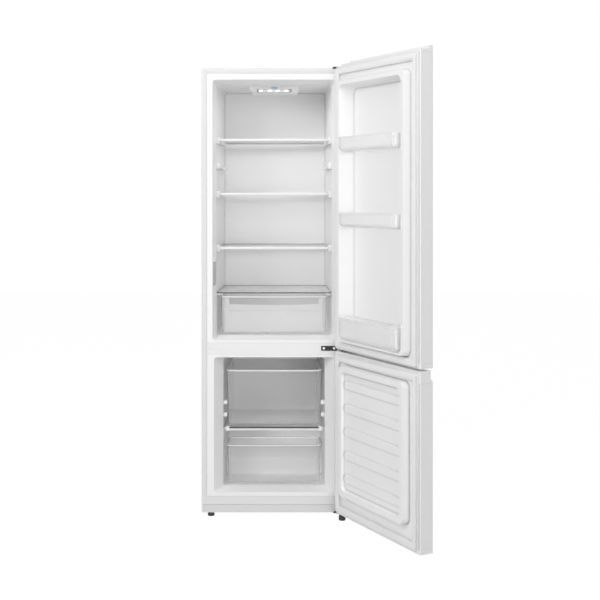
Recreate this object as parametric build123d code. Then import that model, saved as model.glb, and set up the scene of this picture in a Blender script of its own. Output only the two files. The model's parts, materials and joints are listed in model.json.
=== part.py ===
from build123d import *
import os
from math import atan, cos, radians, sin, sqrt

# A free-standing refrigerator with a freezer compartment below, both doors hinged on the right.
# Millimetres. X runs to the right as seen from the front, the front faces -Y, Z is up.
# The origin is the centre of the cabinet's underside, and the feet reach below it.

# Cabinet
cabinet_width = 550.0
cabinet_depth = 490.0
cabinet_height = 1685.0
sheet = 0.8
cabinet_edge_radius = 6.0
flange_side = 20.0
flange_top = 18.0
seam_gap = 0.9
seam_step = 0.8
toe_height = 30.0
toe_rail_top = 62.0
foot_height = 15.0
fit_gap = 0.3
running_gap = 0.08
half_width = cabinet_width / 2
flange_y = -cabinet_depth / 2
back_y = cabinet_depth / 2

# Fridge compartment: depths are taken from the front flange plane
liner_wall = 1.6
beam_top = 653.0
beam_bottom = 589.0
mouth_inset = 41.0
mouth_side_step = 13.0
wall_draft = 10.0
fridge_mouth_half = half_width - mouth_inset
fridge_mouth_bottom = beam_top
fridge_mouth_top = cabinet_height - mouth_inset - 1
fridge_mouth_depth = 46.0
fridge_front_half = fridge_mouth_half - mouth_side_step
fridge_back_half = fridge_front_half - wall_draft
fridge_floor = beam_top + 14.0
fridge_ceiling = fridge_mouth_top - 12.0
rear_insulation = 60.0
fridge_depth = cabinet_depth - rear_insulation
mouth_radius = 12.0
inner_radius = 10.0
lip_height = 8.0
mullion_thick = 3.0

# Freezer compartment
freezer_wall_inset = 80.0
freezer_mouth_half = half_width - 47.0
freezer_mouth_bottom = 76.0
freezer_mouth_top = beam_bottom
freezer_mouth_depth = 50.0
freezer_front_half = half_width - freezer_wall_inset
freezer_back_half = freezer_front_half - 8.0
freezer_floor = freezer_mouth_bottom + 15.0
freezer_ceiling = beam_bottom - 9.0
freezer_rear_insulation = 95.0
freezer_depth = cabinet_depth - freezer_rear_insulation

bead_half = 14.0
bead_rise = 4.0
bead_margin = 70.0

# Machine bay at the lower rear
bay_depth = 235.0
bay_wall_height = 140.0
bay_height = 210.0
bay_insulation = 50.0
bay_sheet = 1.0
bay_front_y = back_y - bay_depth
base_low = 1.0
base_sheet = 1.5
base_top = base_low + base_sheet
base_side_height = 18.0
base_pad_radius = 30.0

# Shelves
lowest_shelf_rise = 336.0
highest_shelf_drop = 213.0
lowest_shelf = fridge_floor + lowest_shelf_rise
highest_shelf = fridge_ceiling - highest_shelf_drop
middle_shelf = (lowest_shelf + highest_shelf) / 2
spare_ledge = highest_shelf - (highest_shelf - middle_shelf) * 0.47
shelf_levels = {"lower": lowest_shelf, "middle": middle_shelf, "upper": highest_shelf}
glass_thick = 4.0
shelf_front = fridge_mouth_depth
shelf_rear_gap = 44.0
shelf_back = fridge_depth - shelf_rear_gap
glass_half = fridge_back_half - 5.0
trim_half = glass_half + 2.0
trim_depth = 12.0
trim_height = 9.5
trim_lip = 2.2
ledge_half = fridge_back_half - 11.0
ledge_thick = 9.0
support_rise = 9.0
support_drop = 17.0
support_depth = 26.0
crisper_cover_rise = 164.0
crisper_cover_level = fridge_floor + crisper_cover_rise
crisper_cover_gap = 1.5
freezer_shelf_rise = 222.0
freezer_shelf_level = freezer_floor + freezer_shelf_rise
freezer_shelf_half = freezer_back_half - 3.0
freezer_shelf_back = freezer_depth - 11.0
freezer_ledge_half = freezer_back_half - 16.0
freezer_trim_drop = 10.0
bump_rises = (46.0, 93.0)
bump_half = 8.0
bump_depth = 24.0
bump_inset = 7.0

# Drawers
tub_wall = 2.4
tub_corner = 22.0
tub_base_radius = 16.0
tub_draft = 4.0
rim_thick = 3.0
rim_reach = 4.0
rim_bow = 5.0
runner_height = 3.0
crisper_top = crisper_cover_level - 16.0
crisper_half = fridge_back_half - 2.5
crisper_rear_gap = 100.0
crisper_length = fridge_depth - crisper_rear_gap
crisper_front = shelf_front + 6.0
crisper_window_half = 172.0
crisper_window_low = 57.0
crisper_window_high = 9.0
crisper_pocket_depth = 14.0
crisper_pocket_height = 26.0
crisper_pocket_sag = 5.0
crisper_band_drops = (78.0, 102.0, 130.0)
band_height = 5.0
band_rise = 1.6
band_margin = 30.0
upper_drawer_drop = 48.0
lower_drawer_drop = 70.0
upper_drawer_top = freezer_ceiling - upper_drawer_drop
lower_drawer_top = freezer_shelf_level - lower_drawer_drop
drawer_half = freezer_back_half - 2.0
drawer_front = freezer_mouth_depth + 4.0
drawer_band_drop = 23.0
drawer_rear_gap = 70.0
upper_drawer_length = freezer_depth - drawer_rear_gap
lower_drawer_length = cabinet_depth - bay_depth - bay_insulation - drawer_front - 5.0

# Doors, described closed
door_gap = 12.1
door_thick = 54.0
door_sheet = 0.8
door_edge_radius = 7.0
door_back_radius = 3.5
door_lip = 5.0
door_groove = 4.0
door_groove_depth = 2.5
door_ledge = 13.0
hinge_inset = 13.5
hinge_forward = 24.5
open_angle = 117.8
upper_door_bottom = beam_top - 26.0
upper_door_top = cabinet_height + 20.0
upper_door_cap = 23.0
upper_door_shoulder = upper_door_top - 14.0
lower_door_bottom = 10.0
lower_door_top = upper_door_bottom - 8.0
cap_height = 16.0
cap_seam = 0.9
grip_cap_height = 41.0
grip_depth = 11.5
grip_height = 27.0
cap_wall = 2.5
door_liner_wall = 1.6
gasket_width = 27.0
gasket_thick = 11.8
upper_gasket_drop = 6.0
dike_rise = 30.0
dike_half = fridge_mouth_half - 12.0
dike_top_width = 18.0
dike_radius = 24.0
plug_draft = 3.0
pan_depth = 30.0
pan_draft = 13.0
pan_sill = 8.0
pan_sill_draft = 4.0
fridge_dike_bottom = fridge_mouth_bottom + 8.0
fridge_dike_top = fridge_mouth_top - 14.0
freezer_plug_half = freezer_mouth_half - 15.0
freezer_plug_bottom = freezer_mouth_bottom + 17.0
freezer_plug_top = freezer_mouth_top - 13.0
freezer_plug_rise = 28.0
freezer_border = 22.0
freezer_border_draft = 6.0
sunk_radius = 15.0
freezer_panel_sink = 13.0
panel_rib_count = 5
panel_rib_pitch = (freezer_plug_top - freezer_plug_bottom) / 5.62
panel_rib_half = freezer_plug_half - 29.0
panel_rib_width = panel_rib_pitch * 0.384
panel_rib_rise = 4.0
hinge_x = half_width - hinge_inset
door_inner_y = flange_y - door_gap
door_outer_y = door_inner_y - door_thick
hinge_y = door_inner_y - hinge_forward

# Door bins: level of the floor, height of the front wall
dike_span = fridge_dike_top - fridge_dike_bottom
bin_rows = {
    "upper_bin": (fridge_dike_bottom + dike_span * 0.7252, 54.0),
    "middle_bin": (fridge_dike_bottom + dike_span * 0.4411, 52.0),
    "lower_bin": (fridge_dike_bottom + 13.0, 82.0),
}
bin_wall = 2.2
bin_reach = 81.0
bin_lug = 6.0
bin_lug_height = 22.0
bin_rim = 5.0
bin_corner = 18.0
bin_base_radius = 16.0
bin_bow = 7.0
bin_lip = 2.0
bin_lip_height = 6.0

# Hinges and feet
hinge_plate = 3.0
hinge_pin_radius = 4.0
hinge_pin_length = 20.0
hinge_arm_half = 9.5
socket_wall = 5.0
screw_radius = 2.2
screw_head_radius = 4.6
screw_head_height = 2.0
top_plate_reach = 36.0
top_cover_height = 7.0
middle_plate_width = 60.0
middle_plate_height = 18.0
middle_plate_right = half_width - 36.0
screw_spacing = 39.0
bottom_arm_top = 4.0
collar_radius = 7.0
nut_radius = 7.5
foot_radius = 12.8
foot_stem_radius = 4.0
foot_stem_top = 16.0
roller_radius = 12.0
roller_width = 12.0
roller_pin_radius = 3.0

# Ceiling unit
lamp_front = 130.0
lamp_length = 165.0
lamp_half = 97.0
lamp_low_half = 74.0
lamp_drop = 22.0
lens_half = 68.0
lens_height = 10.0
lens_depth = 16.0
knob_radius = 14.0
knob_height = 5.0
knob_pin_radius = 3.0
knob_stand_out = 4.0
knob_shelf = 1.5

# Cooling machine
compressor_radius = 72.0
compressor_base = 26.0
compressor_seam = 100.0
compressor_top = 176.0
compressor_x = 70.0
compressor_shell = 4.0
compressor_crown_radius = 42.0
compressor_sump_radius = 24.0
compressor_y = back_y - 112.0
mount_spacing_x = 160.0
mount_spacing_y = 86.0
mount_plate_margin = 15.0
drier_x = -60.0
drier_length = 102.0
drier_drop = 48.0
drier_top = bay_height - drier_drop
drier_bottom = drier_top - drier_length
drier_y = back_y - 60.0
tube_radius = 3.0


def behind(depth):
    """The Y of a plane at a distance behind the front flange."""
    return flange_y + depth


def block(x0, x1, y0, y1, z0, z1):
    """A block between two corners."""
    return Pos((x0 + x1) / 2, (y0 + y1) / 2, (z0 + z1) / 2) * Box(x1 - x0, y1 - y0, z1 - z0)


def rod(x, y, z0, z1, radius):
    """An upright round bar."""
    return Pos(x, y, (z0 + z1) / 2) * Cylinder(radius, z1 - z0)


def cross_rod(x0, x1, y, z, radius):
    """A round bar along X."""
    return Pos((x0 + x1) / 2, y, z) * Rot(0, 90, 0) * Cylinder(radius, x1 - x0)


def upright_outline(y, half, z0, z1, radius):
    """A rounded rectangle centred on X = 0 that stands in the plane at y."""
    place = Plane(origin=(0, y, (z0 + z1) / 2), x_dir=(1, 0, 0), z_dir=(0, 1, 0))
    return place * RectangleRounded(2 * half, z1 - z0, radius)


def tapered(front, back):
    """A straight-sided loft between two upright outlines."""
    return loft([upright_outline(*front), upright_outline(*back)], ruled=True)


def flat_outline(z, x0, x1, y0, y1, radius):
    """A rounded rectangle that lies in the plane at z."""
    return Pos((x0 + x1) / 2, (y0 + y1) / 2, z) * RectangleRounded(x1 - x0, y1 - y0, radius)


def side_profile(points, x0, x1):
    """A shape with the given (y, z) outline, extruded along X from x0 to x1."""
    outline = Plane.YZ * make_face(Polyline(*points, close=True))
    return Pos(x0, 0, 0) * extrude(outline, amount=x1 - x0)


def swing(shape):
    """The shape of a closed door, turned to its open place about the hinge axis."""
    return Pos(hinge_x, hinge_y, 0) * Rot(0, 0, open_angle) * Pos(-hinge_x, -hinge_y, 0) * shape


def fridge_space(grow, front_extra):
    """The fridge compartment's space, grown by a wall on every side but the front."""
    neck_y = behind(fridge_mouth_depth)
    rear_y = behind(fridge_depth) + grow
    opening = (
        fridge_mouth_half + grow, fridge_mouth_bottom - grow, fridge_mouth_top + grow,
        mouth_radius + grow,
    )
    mouth = (flange_y, *opening)
    neck = (
        neck_y, fridge_front_half + grow, fridge_floor - grow, fridge_ceiling + grow,
        inner_radius + grow,
    )
    rear = (
        rear_y, fridge_back_half + grow, fridge_floor - grow, fridge_ceiling + grow,
        inner_radius + grow,
    )
    space = tapered(mouth, neck) + tapered(neck, rear)
    if front_extra:
        space += tapered((flange_y - front_extra, *opening), mouth)
    return space


def hump_profile(grow, margin):
    """The (y, z) outline of the step over the machine bay, as the freezer's liner clears it."""
    slope_shift = (bay_insulation - grow) / cos(radians(45))
    front = bay_front_y - bay_insulation + grow
    top = bay_height + bay_insulation - grow
    knee = bay_wall_height - (bay_insulation - grow) + slope_shift
    crest_y = bay_front_y + (bay_height - bay_wall_height) + (bay_insulation - grow) - slope_shift
    rear = back_y + margin
    low = -margin
    return [(front, low), (front, knee), (crest_y, top), (rear, top), (rear, low)]


def freezer_space(grow, front_extra):
    """The freezer compartment's space, grown by a wall on every side but the front."""
    neck_y = behind(freezer_mouth_depth)
    rear_y = behind(freezer_depth) + grow
    opening = (
        freezer_mouth_half + grow, freezer_mouth_bottom - grow, freezer_mouth_top + grow,
        mouth_radius + grow,
    )
    mouth = (flange_y, *opening)
    neck = (
        neck_y, freezer_front_half + grow, freezer_floor - grow, freezer_ceiling + grow,
        inner_radius + grow,
    )
    rear = (
        rear_y, freezer_back_half + grow, freezer_floor - grow, freezer_ceiling + grow,
        inner_radius + grow,
    )
    hump = side_profile(hump_profile(grow, 1.0), -half_width, half_width)
    space = tapered(mouth, neck) + tapered(neck, rear) - hump
    if front_extra:
        space += tapered((flange_y - front_extra, *opening), mouth)
    return space


def shelf_ledges(levels, front, back, inner_half, outer_half):
    """A pair of side ledges under each glass level, with a rounded front end."""
    ledges = []
    for level in levels:
        top = level - glass_thick - fit_gap
        for side in (-1, 1):
            inner = side * inner_half
            outer = side * (outer_half + liner_wall)
            bar = block(min(inner, outer), max(inner, outer), front, back, top - ledge_thick, top)
            nose = bar.edges().filter_by(Axis.X).sort_by(Axis.Y)[0:1]
            ledges.append(fillet(nose, ledge_thick * 0.6))
    return ledges


def shelf_supports(levels):
    """The moulded bumps on the side walls, beside the front end of each shelf ledge."""
    supports = []
    front = behind(shelf_front + 4)
    for level in levels:
        for side in (-1, 1):
            inner = side * (trim_half + 2 * fit_gap)
            outer = side * (fridge_front_half + liner_wall)
            x0, x1 = min(inner, outer), max(inner, outer)
            bump = block(x0, x1, front, front + support_depth, level - support_drop, level + support_rise)
            bump = fillet(bump.edges().filter_by(Axis.X), support_rise * 0.8)
            face = bump.faces().sort_by(Axis.X)[-1 if side < 0 else 0]
            supports.append(fillet(face.edges(), 2.0))
    return supports


def cabinet_form(inset, bottom, rear):
    """The cabinet's outer form with its rounded edges, at an inset from the steel's face."""
    body = block(
        -half_width + inset, half_width - inset, flange_y + inset, rear, bottom,
        cabinet_height - inset,
    )
    radius = cabinet_edge_radius - inset
    body = fillet(body.edges().filter_by(Axis.Y).group_by(Axis.Z)[-1], radius)
    front = body.faces().sort_by(Axis.Y)[0]
    lowest = front.edges().sort_by(Axis.Z)[0]
    return fillet([edge for edge in front.edges() if edge != lowest], radius * 0.9)


def outer_shell():
    """The steel wrapper: two sides and the top in one sheet, with the front flange turned in."""
    shell = cabinet_form(0, 0, back_y) - cabinet_form(sheet, -1, back_y + 1)
    window_half = half_width - flange_side
    window = block(
        -window_half, window_half, flange_y - 1, flange_y + cabinet_edge_radius, toe_rail_top,
        cabinet_height - flange_top,
    )
    toe_half = half_width - cabinet_edge_radius - 1
    toe = block(-toe_half, toe_half, flange_y - 1, flange_y + cabinet_edge_radius, -1, toe_height)
    return shell - window - toe


def back_panel():
    """The flat rear sheet, pressed with two upright stiffening beads."""
    edge = sheet + fit_gap
    bottom = bay_height + edge
    panel = cabinet_form(edge, bottom, back_y) & block(
        -half_width, half_width, back_y - sheet, back_y, bottom, cabinet_height,
    )
    return panel + back_beads(0, 0) - back_beads(sheet, 1)


def back_beads(inset, rear_extra):
    """The form of the rear sheet's stiffening beads, at an inset from their inner side."""
    middle = (bay_height + cabinet_height) / 2
    length = cabinet_height - bay_height - 2 * bead_margin - 2 * inset
    front = back_y - bead_rise + inset
    rear = back_y + rear_extra
    half = bead_half - inset
    return [
        block(x - half, x + half, front, rear, middle - length / 2, middle + length / 2)
        for x in (-half_width / 2, half_width / 2)
    ]


def bay_wall():
    """The bent sheet that closes the machine bay off from the insulation."""
    front, knee, crest, rear = hump_profile(bay_insulation, 0)[:4]
    edge = sheet + base_sheet + 2 * fit_gap
    lowest = base_top + fit_gap
    shift = bay_sheet
    diagonal = shift * (1 - cos(radians(45))) / sin(radians(45))
    points = [
        (front[0], lowest),
        (knee[0], knee[1]),
        (crest[0], crest[1]),
        (rear[0] - fit_gap, rear[1]),
        (rear[0] - fit_gap, rear[1] - shift),
        (crest[0] + diagonal, crest[1] - shift),
        (knee[0] + shift, knee[1] - diagonal),
        (front[0] + shift, lowest),
    ]
    return side_profile(points, -half_width + edge, half_width - edge)


def base_plate():
    """The bottom sheet with turned-up sides, a pressed pad, roller windows and the bay's slots."""
    edge = sheet + fit_gap
    front = flange_y + cabinet_edge_radius
    x = half_width - edge
    plate = block(-x, x, front, back_y, base_low, base_side_height)
    plate -= block(-x + base_sheet, x - base_sheet, front - 1, back_y + 1, base_top, base_side_height + 1)
    plate += rod(0, 0, 0, base_top, base_pad_radius)
    plate -= rod(0, 0, base_sheet, base_top + 1, base_pad_radius - base_sheet)
    for side in (-1, 1):
        x = side * roller_x
        y0 = roller_y - roller_radius - 2
        y1 = roller_y + roller_radius + 2
        plate -= block(x - roller_slot_half, x + roller_slot_half, y0, y1, 0, base_top + 1)
    slot_pitch = 16.0
    slot_count = 7
    first = slot_pitch - half_width + roller_width + 57
    for row in range(slot_count):
        slot = extrude(SlotOverall(120, 7, rotation=90), amount=base_sheet, both=True)
        plate -= Pos(first + row * slot_pitch, compressor_y, base_top - base_sheet / 2) * slot
    plate -= rod(left_foot_x, left_foot_y, 0, base_top + 1, foot_stem_radius + fit_gap)
    return plate


def fridge_liner():
    """The moulded fridge compartment: tapered mouth, drafted walls, lip, ledges and supports."""
    lip_half = half_width - flange_side - seam_gap
    lip_top = cabinet_height - flange_top - seam_gap
    lip_bottom = fridge_mouth_bottom - lip_height
    lip_front = flange_y + seam_step
    lip = block(-lip_half, lip_half, lip_front, lip_front + liner_wall, lip_bottom, lip_top)
    levels = list(shelf_levels.values()) + [spare_ledge]
    ledge_front = behind(shelf_front + trim_depth + 1)
    ledge_back = behind(shelf_back - trim_depth - 1)
    ledges = shelf_ledges(
        levels + [crisper_cover_level], ledge_front, ledge_back, ledge_half, fridge_front_half,
    )
    ledges += shelf_supports(levels)
    shell = fridge_space(liner_wall, 0) + lip - fridge_space(0, 1)
    shell -= block(-half_width, half_width, flange_y - 1, lip_front, 0, cabinet_height)
    return shell + [ledge & fridge_space(liner_wall / 2, 0) for ledge in ledges]


def freezer_liner():
    """The moulded freezer compartment: wide tapered mouth, step over the bay, shelf ledges."""
    lip_half = half_width - flange_side - seam_gap
    lip_top = freezer_mouth_top + lip_height
    lip_bottom = toe_rail_top + fit_gap
    lip_front = flange_y + seam_step
    lip = block(-lip_half, lip_half, lip_front, lip_front + liner_wall, lip_bottom, lip_top)
    ledge_front = behind(freezer_mouth_depth + trim_depth + 1)
    ledge_back = behind(freezer_shelf_back)
    ledges = shelf_ledges(
        [freezer_shelf_level], ledge_front, ledge_back, freezer_ledge_half, freezer_front_half,
    )
    shell = freezer_space(liner_wall, 0) + lip - freezer_space(0, 1)
    shell -= block(-half_width, half_width, flange_y - 1, lip_front, 0, cabinet_height)
    return shell + [form & freezer_space(liner_wall / 2, 0) for form in ledges + freezer_bumps()]


def freezer_bumps():
    """The moulded bumps on the freezer's side walls, beside the upper drawer."""
    bumps = []
    front = behind(drawer_front)
    for rise in bump_rises:
        z = freezer_shelf_level + rise
        for side in (-1, 1):
            inner = side * (freezer_back_half - bump_inset)
            outer = side * (freezer_front_half + liner_wall)
            x0, x1 = min(inner, outer), max(inner, outer)
            bump = block(x0, x1, front, front + bump_depth, z - bump_half, z + bump_half)
            bump = fillet(bump.edges().filter_by(Axis.X), bump_half * 0.8)
            face = bump.faces().sort_by(Axis.X)[-1 if side < 0 else 0]
            bumps.append(fillet(face.edges(), 2.0))
    return bumps


def mullion():
    """The strip between the two compartments that carries the middle hinge."""
    half = half_width - flange_side - seam_gap
    bottom = freezer_mouth_top + lip_height + fit_gap
    top = fridge_mouth_bottom - lip_height - fit_gap
    strip = block(-half, half, flange_y, flange_y + mullion_thick, bottom, top)
    for x, z in middle_screw_places() + plug_places():
        strip -= Pos(x, flange_y, z) * Rot(90, 0, 0) * Cylinder(screw_radius + fit_gap, 4 * mullion_thick)
    return strip


def middle_screw_places():
    """The (x, z) places of the middle hinge's two screws."""
    centre = middle_plate_right - middle_plate_width / 2
    return [(centre - screw_spacing / 2, hinge_level), (centre + screw_spacing / 2, hinge_level)]


def plug_places():
    """The mirrored holes on the other side, which stay plugged."""
    pitch = 25.0
    first = -middle_screw_places()[1][0] - pitch * 0.8
    return [(first + pitch * index, hinge_level + 1) for index in range(3)]


def hole_plugs():
    """Domed push-in plugs in the unused hinge holes, and the flat one on the top's left corner."""
    dome_radius = 6.0
    plugs = []
    for x, z in plug_places():
        stem = Pos(
            x, flange_y + mullion_thick / 2, z,
        ) * Rot(90, 0, 0) * Cylinder(screw_radius, mullion_thick)
        dome = Pos(x, flange_y - 0.8, z) * Rot(90, 0, 0) * Cylinder(dome_radius, 1.6)
        dome = fillet(dome.edges().sort_by(Axis.Y)[0:1], 1.2)
        plugs.append(stem + dome)
    cap_left = -half_width + cabinet_edge_radius + 13
    cap = block(cap_left, cap_left + 30, flange_y + 6, flange_y + 40, cabinet_height, cabinet_height + 3)
    plugs.append(fillet(cap.faces().sort_by(Axis.Z)[-1].edges(), 1.5))
    return plugs


def toe_strip():
    """The low front strip below the groove, set flush with the flange."""
    half = half_width - cabinet_edge_radius - 1 - fit_gap
    strip = block(-half, half, flange_y, flange_y + mullion_thick, 0, toe_height - 1)
    top_edge = strip.edges().filter_by(Axis.X).sort_by(Axis.Y)[0:2].sort_by(Axis.Z)[-1:]
    strip = fillet(top_edge, 1.5)
    notch_left = hinge_x - top_plate_reach - fit_gap
    return strip - block(
        notch_left, half_width, flange_y - 1, flange_y + mullion_thick + 1, -1,
        bottom_arm_top + fit_gap,
    )


def cabinet_foam():
    """The insulation between the steel wrapper and the two liners."""
    edge = sheet + fit_gap
    front = flange_y + mullion_thick + fit_gap
    grown = liner_wall + fit_gap
    rear = back_y - sheet - fit_gap
    low = base_top + fit_gap
    body = cabinet_form(edge, low, rear) & block(-half_width, half_width, front, rear, low, cabinet_height)
    body -= side_profile(hump_profile(bay_insulation - fit_gap, 2), -half_width, half_width)
    body -= back_beads(-fit_gap, 1)
    side = half_width - edge - base_sheet - fit_gap
    for x0, x1 in ((-half_width, -side), (side, half_width)):
        body -= block(x0, x1, front - 1, rear + 1, 0, base_side_height + fit_gap)
    body -= rod(left_foot_x, left_foot_y, 0, foot_stem_top + fit_gap, foot_stem_radius + fit_gap)
    body -= fridge_space(grown, 1)
    body -= freezer_space(grown, 1)
    body -= evaporator_envelope(fridge_evaporator_place)
    body -= evaporator_envelope(freezer_evaporator_place)
    return body


def evaporator_envelope(place):
    """The pocket that an evaporator plate lies in."""
    half, bottom, top, y = place
    return block(
        -half - fit_gap, half + fit_gap, y - fit_gap, y + evaporator_thick + fit_gap,
        bottom - fit_gap, top + fit_gap,
    )


def evaporator(place):
    """A roll-bonded plate with one raised channel that runs back and forth."""
    half, bottom, top, y = place
    plate_thick = 1.5
    plate = block(-half, half, y, y + plate_thick, bottom, top)
    runs = 6
    margin = 30.0
    pitch = (top - bottom - 2 * margin) / (runs - 1)
    reach = half - margin
    raised = y + plate_thick
    channel = []
    for row in range(runs):
        z = bottom + margin + row * pitch
        channel.append(block(-reach, reach, raised, raised + evaporator_thick - plate_thick, z - 4, z + 4))
    for row in range(runs - 1):
        side = 1 if row % 2 else -1
        z = bottom + margin + row * pitch
        x = side * (reach - 4)
        channel.append(block(x - 4, x + 4, raised, raised + evaporator_thick - plate_thick, z, z + pitch))
    return plate + channel


def shelf_glass(level, front, back, half):
    """A plain glass pane."""
    return block(-half, half, behind(front), behind(back), level - glass_thick, level)


def freezer_pane():
    """The freezer's glass pane, whose front edge lies on its trim."""
    return shelf_glass(
        freezer_shelf_level, freezer_mouth_depth + trim_lip, freezer_shelf_back,
        freezer_shelf_half,
    )


def shelf_trims(level):
    """The moulded front and rear edge strips that grip the pane."""
    front = behind(shelf_front)
    rear = behind(shelf_back)
    top = level + trim_lip
    underside = level - glass_thick
    strip = block(-trim_half, trim_half, front, front + trim_depth, top - trim_height, top)
    strip = fillet(strip.edges().filter_by(Axis.X).sort_by(Axis.Y)[0:2], trim_height * 0.3)
    lip_half = ledge_half - 2 * fit_gap
    heel_front, heel_rear = rear - trim_depth, rear + trim_lip
    heel_top = level + support_rise
    heel = block(-glass_half, glass_half, heel_front, heel_rear, underside, heel_top)
    heel += block(-lip_half, lip_half, heel_front, heel_rear, underside - trim_lip, underside)
    heel -= block(-trim_half, trim_half, heel_front - 1, rear - trim_lip, top, heel_top + 1)
    pane_half = glass_half + fit_gap
    pane_low = underside - running_gap
    pane = block(-pane_half, pane_half, front + trim_lip, rear + fit_gap, pane_low, level + running_gap)
    return [strip - pane, heel - pane]


def freezer_shelf_trim():
    """The light strip under the freezer pane's front edge, with a raised block at each end."""
    front = behind(freezer_mouth_depth)
    rear = front + trim_depth
    half = freezer_shelf_half
    top = freezer_shelf_level
    underside = top - glass_thick - running_gap
    low = underside - freezer_trim_drop
    strip = block(-half, half, front, rear, low, underside)
    strip = fillet(strip.edges().filter_by(Axis.X).sort_by(Axis.Y)[0:2].sort_by(Axis.Z)[0:1], 5.0)
    end_width = 15.0
    ends = []
    for side in (-1, 1):
        x = side * (half - end_width / 2)
        x0, x1 = x - end_width / 2, x + end_width / 2
        end = block(x0, x1, front - 3, rear, low, top + runner_height - 2 * fit_gap)
        ends.append(fillet(end.edges().filter_by(Axis.X).sort_by(Axis.Y)[0:2], 2.8))
    pane = block(-half, half, front + trim_lip, behind(freezer_shelf_back), underside, top + running_gap)
    return strip + ends - pane


def tub_outline(z, walls, grow):
    """A drawer's outline at a level: wider in front than behind, with a bowed front."""
    front_y, length, front_half, back_half = walls
    x0, x1 = front_half + grow, back_half + grow
    y0, y1 = front_y - grow, front_y + length + grow
    bow = ThreePointArc((-x0, y0), (0, y0 - rim_bow), (x0, y0))
    face = make_face([bow, Polyline((x0, y0), (x1, y1), (-x1, y1), (-x0, y0))])
    return Pos(0, 0, z) * fillet(face.vertices(), tub_corner + grow)


def tub_form(walls, z0, z1, inset, base_radius):
    """A drafted tub's form between two levels, rounded round its base."""
    down = Plane(origin=(0, 0, z1), x_dir=(-1, 0, 0), z_dir=(0, 0, -1))
    draft = atan(tub_draft / (z1 - z0)) / radians(1)
    body = extrude(down * tub_outline(0, walls, -inset), amount=z1 - z0, taper=draft)
    return fillet(body.faces().sort_by(Axis.Z)[0].edges(), base_radius)


def drawer_walls(front_y, length, front_half, back_half):
    """A drawer's walls inside its rim: front, length, half its width in front and behind."""
    return front_y + rim_reach, length - 2 * rim_reach, front_half - rim_reach, back_half - rim_reach


def drawer(top, bottom, walls):
    """A clear tub with its rim and two runners under the base."""
    low = bottom + runner_height
    body = tub_form(walls, low, top, 0, tub_base_radius)
    body -= tub_form(walls, low + tub_wall, top + 1, tub_wall, tub_base_radius - tub_wall)
    rim_low = top - rim_thick
    rim = extrude(tub_outline(rim_low, walls, rim_reach), amount=rim_thick)
    body += rim - extrude(tub_outline(rim_low - 1, walls, -tub_wall), amount=rim_thick + 2)
    front_y, length = walls[:2]
    rail_x = walls[3] * 0.6
    rail_y0 = front_y + 40
    rail_y1 = front_y + length - 40
    for x in (-rail_x, rail_x):
        body += block(x - 3, x + 3, rail_y0, rail_y1, bottom, low + tub_wall / 2)
    return body


def front_band(z, height, walls, shrink, half, rise):
    """A raised rounded band across a drawer's bowed front, where the draft has moved the wall in."""
    front_y = walls[0]
    strip = block(-half, half, front_y - rim_bow - rise, front_y + rim_bow + tub_draft, z, z + height)
    strip = fillet(strip.edges().filter_by(Axis.Y), height * 0.45)
    outside = extrude(tub_outline(z - 1, walls, rise - shrink), amount=height + 2)
    inside = extrude(tub_outline(z - 2, walls, -shrink - tub_wall / 2), amount=height + 4)
    return strip & (outside - inside)


def crisper_drawer():
    """The vegetable drawer: a pull pocket in its front behind a wide window, and bands below it."""
    bottom = fridge_floor + fit_gap
    walls = drawer_walls(
        behind(crisper_front), crisper_length, crisper_half, crisper_half - wall_draft * 0.8,
    )
    wall_y = walls[0]
    body = drawer(crisper_top, bottom, walls)
    low = crisper_top - crisper_window_low
    high = crisper_top - crisper_window_high
    inner_y = wall_y + crisper_pocket_depth
    half = crisper_window_half
    outside = block(-half - tub_wall, half + tub_wall, wall_y, inner_y + tub_wall, low - tub_wall, high)
    pocket = block(-half, half, wall_y - 3 * rim_bow, inner_y, low, high + rim_thick)
    opening = block(-half, half, inner_y - 1, inner_y + 2 * tub_wall, low + crisper_pocket_height, high + 1)
    sag_z = low + crisper_pocket_height
    sag_edge = ThreePointArc((-half, sag_z), (0, sag_z - crisper_pocket_sag), (half, sag_z))
    sag = make_face(
        [sag_edge, Polyline((half, sag_z), (half, sag_z + 1), (-half, sag_z + 1), (-half, sag_z))]
    )
    behind_pocket = Plane(origin=(0, inner_y + 2 * tub_wall, 0), x_dir=(1, 0, 0), z_dir=(0, -1, 0))
    opening += extrude(behind_pocket * sag, amount=3 * tub_wall)
    body = body + outside - pocket - opening
    height = crisper_top - bottom
    frame_shrink = tub_draft * crisper_window_low / height
    body += front_band(
        low - band_height, band_height, walls, frame_shrink, half + band_height, 2 * band_rise,
    )
    for drop in crisper_band_drops:
        shrink = tub_draft * drop / height
        body += front_band(
            crisper_top - drop, band_height, walls, shrink, crisper_half - band_margin, band_rise,
        )
    return body


def crisper_cover():
    """The vegetable drawer's glass cover, which follows the drafted side walls."""
    rear = behind(shelf_back)
    slope = wall_draft / (fridge_depth - fridge_mouth_depth)
    front_half = fridge_front_half - crisper_cover_gap
    back_half = front_half - slope * (shelf_back - shelf_front)
    front = behind(shelf_front)
    outline = Polyline(
        (-front_half, front), (front_half, front), (back_half, rear), (-back_half, rear),
        close=True,
    )
    return Pos(0, 0, crisper_cover_level - glass_thick) * extrude(make_face(outline), amount=glass_thick)


def upper_freezer_drawer():
    """The tall freezer drawer that stands on the glass shelf."""
    bottom = freezer_shelf_level + fit_gap
    walls = drawer_walls(behind(drawer_front), upper_drawer_length, drawer_half, drawer_half - 6)
    shrink = tub_draft * drawer_band_drop / (upper_drawer_top - bottom)
    band = front_band(
        upper_drawer_top - drawer_band_drop, 3, walls, shrink, drawer_half - band_margin,
        band_rise,
    )
    return drawer(upper_drawer_top, bottom, walls) + band


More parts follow.
